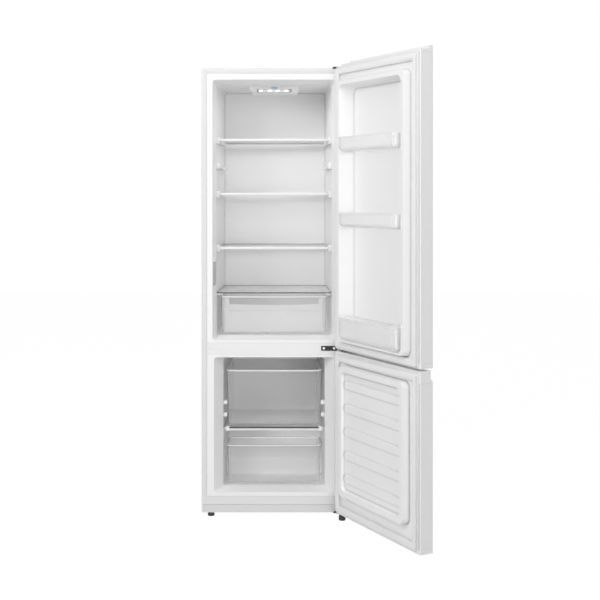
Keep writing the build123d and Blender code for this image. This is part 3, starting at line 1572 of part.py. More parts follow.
def build():
    """Every piece by its name."""
    upper_skin_top = upper_door_top - upper_door_cap
    upper_skin_bottom = upper_door_bottom + cap_height
    lower_skin_top = lower_door_top - grip_cap_height
    lower_skin_bottom = lower_door_bottom + cap_height
    clear = door_liner_wall + fit_gap
    pan = pan_form(clear, 0)
    dike_fill = raised_form(dike_size(), dike_rise - clear, clear, 2)
    plug_fill = raised_form(plug_size(), freezer_plug_rise - clear, clear, 2)
    pieces = {
        "outer_shell": outer_shell(),
        "back_panel": back_panel(),
        "base_plate": base_plate(),
        "bay_wall": bay_wall(),
        "cabinet_foam": cabinet_foam(),
        "fridge_liner": fridge_liner(),
        "freezer_liner": freezer_liner(),
        "mullion": mullion(),
        "toe_strip": toe_strip(),
        "hole_plugs": hole_plugs(),
        "top_hinge": top_hinge(),
        "top_hinge_cover": top_hinge_cover(),
        "middle_hinge": middle_hinge(),
        "bottom_hinge": bottom_hinge(),
        "hinge_screws": hinge_screws(),
        "lamp_housing": lamp_housing(),
        "lamp_lens": lamp_lens(),
        "thermostat_knob": thermostat_knob(),
        "compressor": compressor(),
        "compressor_mounts": compressor_mounts(),
        "relay_box": relay_box(),
        "drip_tray": drip_tray(),
        "filter_drier": filter_drier(),
        "refrigerant_tubes": refrigerant_tubes(),
        "fridge_evaporator": evaporator(fridge_evaporator_place),
        "freezer_evaporator": evaporator(freezer_evaporator_place),
        "cord_inlet": cord_inlet(),
        "roller_brackets": [roller_bracket(-1), roller_bracket(1)],
        "left_roller": roller(-1),
        "right_roller": roller(1),
        "left_foot": left_foot(),
        "right_foot": right_foot(),
        "crisper_cover": crisper_cover(),
        "crisper_drawer": crisper_drawer(),
        "freezer_shelf": freezer_pane(),
        "freezer_shelf_trim": freezer_shelf_trim(),
        "upper_freezer_drawer": upper_freezer_drawer(),
        "lower_freezer_drawer": lower_freezer_drawer(),
        "upper_door_skin": door_skin(upper_skin_bottom, upper_skin_top),
        "upper_door_foam": door_foam(upper_skin_bottom, upper_skin_top, dike_fill, pan),
        "upper_door_liner": upper_door_liner(),
        "upper_door_top_cap": upper_top_cap(),
        "upper_door_bottom_cap": upper_bottom_cap(),
        "upper_door_gasket": gasket(upper_door_bottom - upper_gasket_drop, upper_door_shoulder),
        "door_stop": door_stop(),
        "lower_door_skin": door_skin(lower_skin_bottom, lower_skin_top),
        "lower_door_foam": door_foam(lower_skin_bottom, lower_skin_top, plug_fill, sunk_panel(clear, 0)),
        "lower_door_liner": lower_door_liner(),
        "lower_door_top_cap": lower_top_cap(),
        "lower_door_bottom_cap": lower_bottom_cap(),
        "lower_door_gasket": gasket(lower_door_bottom, lower_door_top),
    }
    for name, level in shelf_levels.items():
        pieces[name + "_shelf"] = shelf_glass(level, shelf_front + trim_lip, shelf_back, glass_half)
        pieces[name + "_shelf_trims"] = shelf_trims(level)
    for name, (level, height) in bin_rows.items():
        pieces[name] = door_bin(level, height)
    return pieces


os.makedirs("parts", exist_ok=True)
for node, shape in build().items():
    solids = shape if isinstance(shape, list) else [shape]
    export_step(Compound(children=solids) if len(solids) > 1 else solids[0], f"parts/{node}.step")
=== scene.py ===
import json
from math import cos, pi, radians, sin

import bmesh
import bpy
from mathutils import Matrix, Vector


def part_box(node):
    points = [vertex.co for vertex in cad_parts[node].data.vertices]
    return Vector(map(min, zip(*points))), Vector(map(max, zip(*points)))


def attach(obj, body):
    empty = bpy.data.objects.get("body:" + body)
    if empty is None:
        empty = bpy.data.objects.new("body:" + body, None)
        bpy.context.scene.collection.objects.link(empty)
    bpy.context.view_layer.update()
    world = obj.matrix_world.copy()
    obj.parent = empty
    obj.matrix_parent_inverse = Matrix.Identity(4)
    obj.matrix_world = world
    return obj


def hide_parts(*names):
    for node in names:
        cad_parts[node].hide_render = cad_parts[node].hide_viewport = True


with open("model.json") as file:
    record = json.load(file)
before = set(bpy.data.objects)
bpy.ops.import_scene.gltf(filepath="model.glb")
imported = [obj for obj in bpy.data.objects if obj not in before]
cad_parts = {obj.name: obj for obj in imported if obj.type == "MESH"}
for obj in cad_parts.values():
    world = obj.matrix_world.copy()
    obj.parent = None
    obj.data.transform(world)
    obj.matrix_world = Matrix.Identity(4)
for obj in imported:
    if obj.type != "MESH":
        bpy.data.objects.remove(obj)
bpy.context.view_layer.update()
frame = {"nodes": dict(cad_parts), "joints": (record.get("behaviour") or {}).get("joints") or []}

mm = 0.001

# Camera
# Level, in front of the cabinet at the height of the middle shelves. The shift puts the lens axis
# where the photograph has it, to the left of and above the middle of the picture.
camera = bpy.data.objects.new("camera", bpy.data.cameras.new("camera"))
camera.data.sensor_width = 36.0
camera.data.lens = 65.14
camera.data.shift_x = 0.0249
camera.data.shift_y = -0.1767
camera.data.clip_end = 100.0
camera.location = (0.04225, -4.3654, 1.2084)
camera.rotation_euler = (radians(90), 0, 0)
bpy.context.scene.collection.objects.link(camera)
bpy.context.scene.camera = camera
bpy.context.scene.view_settings.view_transform = "Standard"


# Floor
# A pale matt floor at the level of the feet, which keeps a faint shadow of the object and is
# otherwise as white as the backdrop.
floor_half = 9.0
floor_grey = 0.86
floor_glow = 1.07
floor_glow_share = 0.9


def material(name):
    """A new material, its node tree and its output, with nothing else in it."""
    made = bpy.data.materials.new(name)
    made.use_nodes = True
    tree = made.node_tree
    tree.nodes.clear()
    return made, tree, tree.nodes.new("ShaderNodeOutputMaterial")


def feed(tree, socket, value):
    """Sets an input socket to a number or colour, or links it to another socket."""
    if isinstance(value, bpy.types.NodeSocket):
        tree.links.new(value, socket)
    else:
        socket.default_value = value


def sums(tree, operation, *values):
    """A Math node on the given numbers or sockets; its output socket is returned."""
    node = tree.nodes.new("ShaderNodeMath")
    node.operation = operation
    for socket, value in zip(node.inputs, values):
        feed(tree, socket, value)
    return node.outputs[0]


def seen_white(tree):
    """1 for a camera, glossy or transmission ray, and 0 for the light that falls on things."""
    path = tree.nodes.new("ShaderNodeLightPath")
    gloss = sums(tree, "MAXIMUM", path.outputs["Is Camera Ray"], path.outputs["Is Glossy Ray"])
    return sums(tree, "MAXIMUM", gloss, path.outputs["Is Transmission Ray"])


floor_mesh = bpy.data.meshes.new("floor")
floor_corners = [(x * floor_half, y * floor_half, 0) for x, y in ((-1, -1), (1, -1), (1, 1), (-1, 1))]
floor_mesh.from_pydata(floor_corners, [], [(0, 1, 2, 3)])
floor = bpy.data.objects.new("floor", floor_mesh)
floor.location.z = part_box("left_foot")[0][2]
bpy.context.scene.collection.objects.link(floor)
floor_white, tree, output = material("floor_white")
diffuse = tree.nodes.new("ShaderNodeBsdfDiffuse")
diffuse.inputs["Color"].default_value = (floor_grey, floor_grey, floor_grey, 1)
glow = tree.nodes.new("ShaderNodeEmission")
glow.inputs["Color"].default_value = (1, 1, 1, 1)
glow.inputs["Strength"].default_value = floor_glow
mix = tree.nodes.new("ShaderNodeMixShader")
tree.links.new(sums(tree, "MULTIPLY", seen_white(tree), floor_glow_share), mix.inputs["Fac"])
tree.links.new(diffuse.outputs[0], mix.inputs[1])
tree.links.new(glow.outputs[0], mix.inputs[2])
tree.links.new(mix.outputs[0], output.inputs["Surface"])
floor_mesh.materials.append(floor_white)

# Light
# A white room seen as pure white, and four soft boxes: a small and a large one on the left, a wide
# one high in front, and a low one far off on the right that reaches into the compartments.
room_light = 0.31

world = bpy.data.worlds.new("white_room")
world.use_nodes = True
bpy.context.scene.world = world
tree = world.node_tree
tree.nodes.clear()
background = tree.nodes.new("ShaderNodeBackground")
background.inputs["Color"].default_value = (1, 1, 1, 1)
room_strength = sums(tree, "MULTIPLY_ADD", seen_white(tree), 1 - room_light, room_light)
tree.links.new(room_strength, background.inputs["Strength"])
tree.links.new(background.outputs[0], tree.nodes.new("ShaderNodeOutputWorld").inputs["Surface"])


def soft_box(name, place, aim, width, height, power):
    """Adds a rectangular area light that faces a point."""
    lamp = bpy.data.objects.new(name, bpy.data.lights.new(name, "AREA"))
    lamp.data.shape = "RECTANGLE"
    lamp.data.size = width
    lamp.data.size_y = height
    lamp.data.energy = power
    lamp.location = place
    lamp.rotation_euler = (Vector(aim) - Vector(place)).to_track_quat("-Z", "Y").to_euler()
    bpy.context.scene.collection.objects.link(lamp)


soft_box("box_left", (-1.8, -2.0, 2.4), (0.2, 0.0, 1.5), width=0.8, height=0.8, power=10.0)
soft_box("box_front_left", (-2.5, -3.7, 2.6), (0.2, 0.0, 1.6), width=1.6, height=1.6, power=49.0)
soft_box("box_high", (0.2, -3.2, 3.6), (0.0, 0.0, 1.3), width=2.4, height=1.6, power=43.0)
soft_box("box_right", (1.6, -5.0, 0.8), (0.0, 0.0, 0.8), width=1.6, height=1.2, power=26.0)


# Outer shell and door skins
# Cold rolled steel folded in one piece and sprayed with white baked enamel, which keeps a fine
# orange peel and a slight drift of tone.
def node_group(name, inputs, outputs):
    """An empty node group with named sockets: its tree, its inputs and its output's inputs."""
    tree = bpy.data.node_groups.new(name, "ShaderNodeTree")
    for label, kind, value in inputs:
        socket = tree.interface.new_socket(label, in_out="INPUT", socket_type="NodeSocket" + kind)
        socket.default_value = value
    for label, kind in outputs:
        tree.interface.new_socket(label, in_out="OUTPUT", socket_type="NodeSocket" + kind)
    return tree, tree.nodes.new("NodeGroupInput").outputs, tree.nodes.new("NodeGroupOutput").inputs


def coordinates(tree, kind):
    """One output of a Texture Coordinate node, such as Object, Generated or Normal."""
    return tree.nodes.new("ShaderNodeTexCoord").outputs[kind]


def noise(tree, scale, detail):
    """A noise texture measured in the object's own metres; its value socket is returned."""
    node = tree.nodes.new("ShaderNodeTexNoise")
    node.inputs["Detail"].default_value = detail
    tree.links.new(coordinates(tree, "Object"), node.inputs["Vector"])
    feed(tree, node.inputs["Scale"], scale)
    return node.outputs["Fac"]


def centred(tree, value):
    """A value from 0 to 1 moved to lie about 0."""
    return sums(tree, "SUBTRACT", value, 0.5)


def toned(tree, colour, factor):
    """A colour socket multiplied by a factor socket."""
    node = tree.nodes.new("ShaderNodeVectorMath")
    node.operation = "SCALE"
    tree.links.new(colour, node.inputs[0])
    tree.links.new(factor, node.inputs["Scale"])
    return node.outputs[0]


def bump(tree, height, distance):
    """A bump of the given height socket; its normal socket is returned."""
    node = tree.nodes.new("ShaderNodeBump")
    node.inputs["Strength"].default_value = 1.0
    feed(tree, node.inputs["Distance"], distance)
    tree.links.new(height, node.inputs["Height"])
    return node.outputs[0]


drift_scale, drift_detail = 3.5, 3.0
patch_scale, patch_detail = 28.0, 4.0
peel_detail = 2.0

coat, given, out = node_group(
    "smooth_skin",
    [("Colour", "Color", (0.9, 0.9, 0.9, 1)), ("Drift", "Float", 0.01), ("Rough", "Float", 0.3),
     ("Rough Spread", "Float", 0.08), ("Peel Scale", "Float", 500.0), ("Peel Depth", "Float", 0.02 * mm)],
    [("Colour", "Color"), ("Roughness", "Float"), ("Normal", "Vector")],
)
slow = centred(coat, noise(coat, drift_scale, drift_detail))
change = sums(coat, "MULTIPLY_ADD", slow, sums(coat, "MULTIPLY", given["Drift"], 2.0), 1.0)
coat.links.new(toned(coat, given["Colour"], change), out["Colour"])
patches = centred(coat, noise(coat, patch_scale, patch_detail))
coat.links.new(sums(coat, "MULTIPLY_ADD", patches, given["Rough Spread"], given["Rough"]), out["Roughness"])
peel = noise(coat, given["Peel Scale"], peel_detail)
coat.links.new(bump(coat, peel, given["Peel Depth"]), out["Normal"])


def principled(tree, output, **values):
    """The Principled shader of a material, with its plain values set by socket name."""
    shader = tree.nodes.new("ShaderNodeBsdfPrincipled")
    tree.links.new(shader.outputs[0], output.inputs["Surface"])
    for label, value in values.items():
        shader.inputs[label.replace("_", " ")].default_value = value
    return shader


def effect(tree, name, **values):
    """A placed node group with its inputs set by name; its outputs are returned."""
    node = tree.nodes.new("ShaderNodeGroup")
    node.node_tree = bpy.data.node_groups[name]
    for label, value in values.items():
        feed(tree, node.inputs[label.replace("_", " ")], value)
    return node.outputs


def skinned(name, colour, rough, spread, drift, peel_scale, peel_depth, crease=0.0, dusty=0.0, **values):
    """A material that is one smooth skin, such as enamel, with painted shade in its creases, or dust, if
    asked.
    """
    made, tree, output = material(name)
    shader = principled(tree, output, **values)
    skin = effect(tree, "smooth_skin", Colour=(*colour, 1), Drift=drift, Rough=rough, Rough_Spread=spread,
                  Peel_Scale=peel_scale, Peel_Depth=peel_depth)
    tint, roughness = skin["Colour"], skin["Roughness"]
    if crease:
        tint = effect(tree, "painted_crease_shade", Colour=tint, Share=crease)["Colour"]
    if dusty:
        fallen = effect(tree, "settled_dust", Colour=tint, Rough=roughness, Amount=dusty)
        tint, roughness = fallen["Colour"], fallen["Roughness"]
    tree.links.new(tint, shader.inputs["Base Color"])
    tree.links.new(roughness, shader.inputs["Roughness"])
    tree.links.new(skin["Normal"], shader.inputs["Normal"])
    return made


def dress(made, *nodes):
    """Gives CAD nodes a material in place of the plain one."""
    for node in nodes:
        for slot in frame["nodes"][node].material_slots:
            slot.material = made


# The shell and the door skins take two greys of the one enamel: the shell's darker grey is painted shade
# and the doors' lighter grey painted light.
shell_enamel = skinned(
    "shell_enamel", (0.79, 0.79, 0.79), rough=0.22, spread=0.06, drift=0.006, peel_scale=420.0,
    peel_depth=0.03 * mm, Coat_Weight=0.35, Coat_Roughness=0.06,
)
dress(shell_enamel, "outer_shell")
door_enamel = skinned(
    "door_enamel", (0.87, 0.87, 0.87), rough=0.2, spread=0.06, drift=0.006, peel_scale=420.0,
    peel_depth=0.03 * mm, Coat_Weight=0.35, Coat_Roughness=0.06,
)
dress(door_enamel, "upper_door_skin", "lower_door_skin")

# Back panel, base plate, bay wall and roller brackets
# Hot dip galvanised sheet, with the faint crystal spangle of its zinc and the dust that gathers
# on every level face at the back.
grain_per_cell = 3.0
grain_detail = 2.0

zinc, given, out = node_group(
    "spangle",
    [("Colour", "Color", (0.6, 0.6, 0.6, 1)), ("Cell Scale", "Float", 120.0), ("Cell Drift", "Float", 0.12),
     ("Rough", "Float", 0.4), ("Rough Spread", "Float", 0.25), ("Depth", "Float", 0.02 * mm)],
    [("Colour", "Color"), ("Roughness", "Float"), ("Normal", "Vector")],
)
cells = zinc.nodes.new("ShaderNodeTexVoronoi")
zinc.links.new(coordinates(zinc, "Object"), cells.inputs["Vector"])
zinc.links.new(given["Cell Scale"], cells.inputs["Scale"])
split = zinc.nodes.new("ShaderNodeSeparateColor")
zinc.links.new(cells.outputs["Color"], split.inputs[0])
cell_tone = sums(zinc, "MULTIPLY_ADD", centred(zinc, split.outputs[0]), given["Cell Drift"], 1.0)
zinc.links.new(toned(zinc, given["Colour"], cell_tone), out["Colour"])
cell_gloss = centred(zinc, split.outputs[1])
cell_rough = sums(zinc, "MULTIPLY_ADD", cell_gloss, given["Rough Spread"], given["Rough"])
zinc.links.new(cell_rough, out["Roughness"])
grain = noise(zinc, sums(zinc, "MULTIPLY", given["Cell Scale"], grain_per_cell), grain_detail)
zinc.links.new(bump(zinc, grain, given["Depth"]), out["Normal"])


def height_of(tree, vector):
    """The Z part of a vector socket."""
    node = tree.nodes.new("ShaderNodeSeparateXYZ")
    tree.links.new(vector, node.inputs[0])
    return node.outputs["Z"]


def facing(tree):
    """The surface's normal in the world."""
    return tree.nodes.new("ShaderNodeNewGeometry").outputs["Normal"]


def blended(tree, factor, first, second):
    """The colour between two colour sockets; the numbers are the Mix node's colour sockets."""
    node = tree.nodes.new("ShaderNodeMix")
    node.data_type = "RGBA"
    tree.links.new(factor, node.inputs["Factor"])
    tree.links.new(first, node.inputs[6])
    tree.links.new(second, node.inputs[7])
    return node.outputs[2]


dust_on_walls = 0.12
speck_scale, speck_detail = 60.0, 6.0
speck_contrast, speck_level = 1.6, -0.35

dust, given, out = node_group(
    "settled_dust",
    [("Colour", "Color", (0.5, 0.5, 0.5, 1)), ("Dust", "Color", (0.42, 0.4, 0.37, 1)),
     ("Amount", "Float", 0.4), ("Rough", "Float", 0.4)],
    [("Colour", "Color"), ("Roughness", "Float")],
)
lying = sums(dust, "MAXIMUM", height_of(dust, facing(dust)), dust_on_walls)
specks = sums(dust, "MULTIPLY_ADD", noise(dust, speck_scale, speck_detail), speck_contrast, speck_level)
cover = sums(dust, "MULTIPLY", sums(dust, "MULTIPLY", lying, specks), given["Amount"])
cover = sums(dust, "MINIMUM", sums(dust, "MAXIMUM", cover, 0.0), 1.0)
dust.links.new(blended(dust, cover, given["Colour"], given["Dust"]), out["Colour"])
dust.links.new(sums(dust, "MINIMUM", sums(dust, "ADD", given["Rough"], cover), 1.0), out["Roughness"])


def sheet_metal(name, colour, cell_scale, cell_drift, rough, dusty):
    """Bare metal with crystal or rolling marks and some dust."""
    made, tree, output = material(name)
    shader = principled(tree, output, Metallic=1.0)
    marks = effect(tree, "spangle", Colour=(*colour, 1), Cell_Scale=cell_scale, Cell_Drift=cell_drift,
                   Rough=rough)
    fallen = effect(tree, "settled_dust", Colour=marks["Colour"], Rough=marks["Roughness"], Amount=dusty)
    tree.links.new(fallen["Colour"], shader.inputs["Base Color"])
    tree.links.new(fallen["Roughness"], shader.inputs["Roughness"])
    tree.links.new(marks["Normal"], shader.inputs["Normal"])
    return made


galvanised = sheet_metal("galvanised_sheet", (0.62, 0.63, 0.64), cell_scale=170.0, cell_drift=0.1,
                         rough=0.42, dusty=0.35)
dress(galvanised, "back_panel", "base_plate", "bay_wall", "roller_brackets")

# Foamed insulation
# Rigid foam poured between the sheets, pale yellow and full of small cells where it shows.
foam = skinned("poured_foam", (0.82, 0.74, 0.5), rough=0.85, spread=0.1, drift=0.08, peel_scale=700.0,
               peel_depth=0.4 * mm)
dress(foam, "cabinet_foam", "upper_door_foam", "lower_door_foam")

# Compartment and door liners, lamp housing
# White polystyrene sheet, vacuum formed over a mould, so it is a little glossier on the walls
# that slid down the mould, and has painted shade darkening its corners and creases.
# Painted shade: ambient occlusion darkens the colour in corners and creases by the given share.
crease, given, out = node_group(
    "painted_crease_shade",
    [("Colour", "Color", (1, 1, 1, 1)), ("Reach", "Float", 9.0 * mm), ("Share", "Float", 0.3)],
    [("Colour", "Color")],
)
shelter = crease.nodes.new("ShaderNodeAmbientOcclusion")
shelter.only_local = True
shelter.samples = 8
crease.links.new(given["Reach"], shelter.inputs["Distance"])
covered = sums(crease, "SUBTRACT", 1.0, shelter.outputs["AO"])
kept_tone = sums(crease, "SUBTRACT", 1.0, sums(crease, "MULTIPLY", covered, given["Share"]))
crease.links.new(toned(crease, given["Colour"], kept_tone), out["Colour"])


def liner_sheet(name, grey, crease):
    """White liner plastic, whose creases carry painted shade as deep as crease says."""
    return skinned(name, (grey, grey, grey), rough=0.34, spread=0.1, drift=0.006, peel_scale=260.0,
                   peel_depth=0.02 * mm, crease=crease, Specular_IOR_Level=0.45)


# The fridge compartment and lamp housing take a lighter grey of the same sheet than the other liners, as
# painted light; the lower door's ribs get the deepest painted shade.
dress(liner_sheet("compartment_white", 0.965, crease=0.4), "fridge_liner", "lamp_housing")
dress(liner_sheet("liner_white", 0.93, crease=0.55), "freezer_liner", "upper_door_liner")
dress(liner_sheet("ribbed_white", 0.93, crease=0.9), "lower_door_liner")

# Door caps, mullion, toe strip, plugs and shelf trims
# Injection moulded white plastic with the fine even grain of a spark eroded mould.
moulded_white = skinned("moulded_white", (0.88, 0.88, 0.88), rough=0.3, spread=0.08, drift=0.006,
                        peel_scale=1400.0, peel_depth=0.02 * mm)
dress(moulded_white, "upper_door_top_cap", "upper_door_bottom_cap", "lower_door_top_cap")
dress(moulded_white, "lower_door_bottom_cap", "mullion", "hole_plugs")
dress(moulded_white, "lower_shelf_trims", "middle_shelf_trims", "upper_shelf_trims", "freezer_shelf_trim")
# The toe strip takes a darker grey than the other mouldings, painted shade at the foot of the cabinet.
toe_white = skinned("toe_white", (0.74, 0.74, 0.74), rough=0.4, spread=0.08, drift=0.008,
                    peel_scale=1400.0, peel_depth=0.02 * mm)
dress(toe_white, "toe_strip")

# Hinges, door stop and compressor
# Pressed steel under black electrophoretic paint, worn to a dull sheen, with a little dust.
black_paint = skinned("black_paint", (0.012, 0.012, 0.012), rough=0.42, spread=0.2, drift=0.2,
                      peel_scale=900.0, peel_depth=0.03 * mm, dusty=0.08)
dress(black_paint, "top_hinge", "middle_hinge", "bottom_hinge", "door_stop", "compressor")

# Hinge cover, relay box, drip tray, rollers and feet
# Dark grey moulded plastic, matt and a little dusty.
dark_plastic = skinned("dark_plastic", (0.045, 0.045, 0.045), rough=0.6, spread=0.15, drift=0.1,
                       peel_scale=1600.0, peel_depth=0.04 * mm, dusty=0.2)
dress(dark_plastic, "top_hinge_cover", "relay_box", "drip_tray")
dress(dark_plastic, "left_roller", "right_roller", "left_foot", "right_foot")

# Compressor mounts and lead bush
# Soft black rubber.
black_rubber = skinned("black_rubber", (0.02, 0.02, 0.02), rough=0.75, spread=0.1, drift=0.15,
                       peel_scale=800.0, peel_depth=0.06 * mm)
dress(black_rubber, "compressor_mounts", "cord_inlet")

# Drier and tubes
# Drawn copper, darkened by brazing and handling.
copper = sheet_metal("copper", (0.66, 0.32, 0.2), cell_scale=60.0, cell_drift=0.3, rough=0.32, dusty=0.15)
dress(copper, "filter_drier", "refrigerant_tubes")

# Evaporators
# Two aluminium sheets rolled together, with the channel blown up between them.
rolled_aluminium = sheet_metal("rolled_aluminium", (0.74, 0.75, 0.76), cell_scale=300.0, cell_drift=0.08,
                               rough=0.35, dusty=0.0)
dress(rolled_aluminium, "fridge_evaporator", "freezer_evaporator")


# Glass shelves
# Toughened float glass with ground edges: nearly clear face on, with its edge faces painted a dark green
# grey as painted shade for the light lost along the pane.
def turned_away(tree, power):
    """0 where a surface faces the eye and 1 where it is seen edge on, raised to a power."""
    along = tree.nodes.new("ShaderNodeLayerWeight")
    along.inputs["Blend"].default_value = 0.5
    return sums(tree, "POWER", along.outputs["Facing"], power)


def see_through(tree, shader, skin, face_on, edge_on, shade):
    """The alpha of a clear body, from face on to edge on; shade thins it for passing light."""
    tree.links.new(skin["Roughness"], shader.inputs["Roughness"])
    tree.links.new(skin["Normal"], shader.inputs["Normal"])
    density = sums(tree, "MULTIPLY_ADD", turned_away(tree, 2.5), edge_on - face_on, face_on)
    path = tree.nodes.new("ShaderNodeLightPath")
    passing = sums(tree, "MAXIMUM", path.outputs["Is Shadow Ray"], path.outputs["Is Diffuse Ray"])
    pale = sums(tree, "MULTIPLY_ADD", passing, shade - 1.0, 1.0)
    return sums(tree, "MULTIPLY", density, pale)


edge_slope = 0.5
edge_density = 0.92

# Painted shade: faces seen along a pane's thickness are drawn dark and nearly opaque.
ground, given, out = node_group(
    "painted_edge_shade",
    [("Face", "Color", (0.85, 0.87, 0.86, 1)), ("Edge", "Color", (0.1, 0.12, 0.115, 1)),
     ("Density", "Float", 0.1)],
    [("Colour", "Color"), ("Density", "Float")],
)
steepness = sums(ground, "ABSOLUTE", height_of(ground, facing(ground)))
edge_mask = sums(ground, "LESS_THAN", steepness, edge_slope)
ground.links.new(blended(ground, edge_mask, given["Face"], given["Edge"]), out["Colour"])
dense_edge = sums(ground, "MULTIPLY", edge_mask, edge_density)
ground.links.new(sums(ground, "MAXIMUM", given["Density"], dense_edge), out["Density"])

pane_glass, tree, output = material("pane_glass")
shader = principled(tree, output, IOR=1.52)
skin = effect(tree, "smooth_skin", Colour=(0.86, 0.88, 0.87, 1), Drift=0.01, Rough=0.03,
              Rough_Spread=0.02, Peel_Scale=300.0, Peel_Depth=0.01 * mm)
density = see_through(tree, shader, skin, face_on=0.08, edge_on=0.6, shade=0.2)
rim = effect(tree, "painted_edge_shade", Face=skin["Colour"], Edge=(0.03, 0.035, 0.033, 1), Density=density)
tree.links.new(rim["Colour"], shader.inputs["Base Color"])
tree.links.new(rim["Density"], shader.inputs["Alpha"])
dress(pane_glass, "lower_shelf", "middle_shelf", "upper_shelf", "crisper_cover", "freezer_shelf")

# Drawers and lamp lens
# Clear polystyrene, injection moulded, with a faint milky body, a painted highlight along the top
# rims and painted shade where the eye looks along a wall.
end_facing = 0.85
wall_line_power = 4.0
wall_line_shade = -0.4

# Painted highlight: the top rim of a clear moulding is drawn nearly opaque white; walls that face the given
# way are drawn as milky as End Density says.
brim, given, out = node_group(
    "painted_rim_highlight_and_ends",
    [("Density", "Float", 0.2), ("Rim Share", "Float", 0.03), ("Rim Density", "Float", 0.95),
     ("Length Way", "Vector", (1, 0, 0)), ("End Density", "Float", 0.0)],
    [("Density", "Float")],
)
from_top = sums(brim, "SUBTRACT", 1.0, height_of(brim, coordinates(brim, "Generated")))
at_rim = sums(brim, "LESS_THAN", from_top, given["Rim Share"])
across = brim.nodes.new("ShaderNodeVectorMath")
across.operation = "DOT_PRODUCT"
brim.links.new(coordinates(brim, "Normal"), across.inputs[0])
brim.links.new(given["Length Way"], across.inputs[1])
at_end = sums(brim, "GREATER_THAN", sums(brim, "ABSOLUTE", across.outputs["Value"]), end_facing)
dense_rim = sums(brim, "MULTIPLY", at_rim, given["Rim Density"])
dense_end = sums(brim, "MULTIPLY", at_end, given["End Density"])
densest = sums(brim, "MAXIMUM", dense_rim, dense_end)
brim.links.new(sums(brim, "MAXIMUM", given["Density"], densest), out["Density"])


def clear_moulding(name, face_on, end_faces=0.0, length_way=(1, 0, 0)):
    """Clear moulded plastic with a painted highlight on its top rim and painted shade along its walls; its
    walls across its length are as milky as end_faces says.
    """
    made, tree, output = material(name)
    shader = principled(tree, output, IOR=1.59)
    skin = effect(tree, "smooth_skin", Colour=(0.95, 0.95, 0.95, 1), Drift=0.01, Rough=0.08,
                  Rough_Spread=0.04, Peel_Scale=300.0, Peel_Depth=0.01 * mm)
    density = see_through(tree, shader, skin, face_on, edge_on=0.92, shade=0.08)
    # Painted shade: the colour darkens where the eye looks along a wall.
    darker = sums(tree, "MULTIPLY_ADD", turned_away(tree, wall_line_power), wall_line_shade, 1.0)
    tree.links.new(toned(tree, skin["Colour"], darker), shader.inputs["Base Color"])
    rim = effect(tree, "painted_rim_highlight_and_ends", Density=density, Length_Way=length_way, End_Density=end_faces)
    tree.links.new(rim["Density"], shader.inputs["Alpha"])
    return made


dress(clear_moulding("drawer_plastic", 0.15), "upper_freezer_drawer", "lower_freezer_drawer", "lamp_lens")
dress(clear_moulding("crisper_plastic", 0.36), "crisper_drawer")

# Door bins
# Clear polystyrene like the drawers, whose ends, which hook over the liner's lugs, are drawn far milkier
# than the rest.
door_joint = next(joint for joint in frame["joints"] if joint["name"] == "upper_door_hinge")
open_turn = Matrix.Rotation(radians(-door_joint["range_deg"][0]), 4, "Z")
bin_length_way = open_turn @ Vector((1, 0, 0))
bin_plastic = clear_moulding("bin_plastic", 0.26, 0.85, tuple(bin_length_way))
dress(bin_plastic, "upper_bin", "middle_bin", "lower_bin")

# Temperature wheel
# Pale blue moulded plastic.
pale_blue = skinned("pale_blue", (0.42, 0.62, 0.8), rough=0.35, spread=0.08, drift=0.02,
                    peel_scale=900.0, peel_depth=0.02 * mm)
dress(pale_blue, "thermostat_knob")

# Door seals
# Soft white vinyl bellows with a magnetic strip inside, pressed into the liner's groove and welded
# into a frame at mitred corners. The outline's millimetres run inward from the seal's outer edge
# and from the door towards the cabinet.
door_gap = 12.1 * mm
seal_inset = 11.0 * mm
bellows = (
    (1.0, 0.2), (26.0, 0.2), (27.0, 1.6), (19.0, 2.4), (18.0, 4.0), (24.5, 6.4), (24.5, 8.9),
    (19.6, 9.2), (19.2, 11.7), (2.6, 11.7), (1.9, 9.0), (8.4, 8.2), (7.6, 3.0), (0.6, 2.2),
)
hinge = Vector((door_joint["pos_m"][0], door_joint["pos_m"][1], 0))
swung_open = Matrix.Translation(hinge) @ open_turn @ Matrix.Translation(-hinge)
cabinet_low, cabinet_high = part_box("outer_shell")
door_inner_y = cabinet_low[1] - door_gap


def rounded(outline, rounds):
    """A closed outline with its corners cut again and again into smooth curves."""
    for _ in range(rounds):
        pairs = list(zip(outline, outline[1:] + outline[:1]))
        outline = [
            tuple(a * (1 - share) + b * share for a, b in zip(*pair))
            for pair in pairs for share in (0.25, 0.75)
        ]
    return outline


def add_piece(name, mesh, made, body):
    """A named piece with its material, which rides on a body and takes its finish from a slot."""
    piece = bpy.data.objects.new(name, mesh)
    mesh.materials.append(made)
    bpy.context.scene.collection.objects.link(piece)
    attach(piece, body)
    return piece


def mesh_of(name, vertices, faces, smooth_angle=35):
    """A mesh with its creases kept and the rest shaded smooth."""
    mesh = bpy.data.meshes.new(name)
    mesh.from_pydata([tuple(point) for point in vertices], [], faces)
    work = bmesh.new()
    work.from_mesh(mesh)
    bmesh.ops.recalc_face_normals(work, faces=work.faces)
    for edge in work.edges:
        edge.smooth = edge.calc_face_angle(0) < radians(smooth_angle)
    for face in work.faces:
        face.smooth = True
    work.to_mesh(mesh)
    work.free()
    return mesh


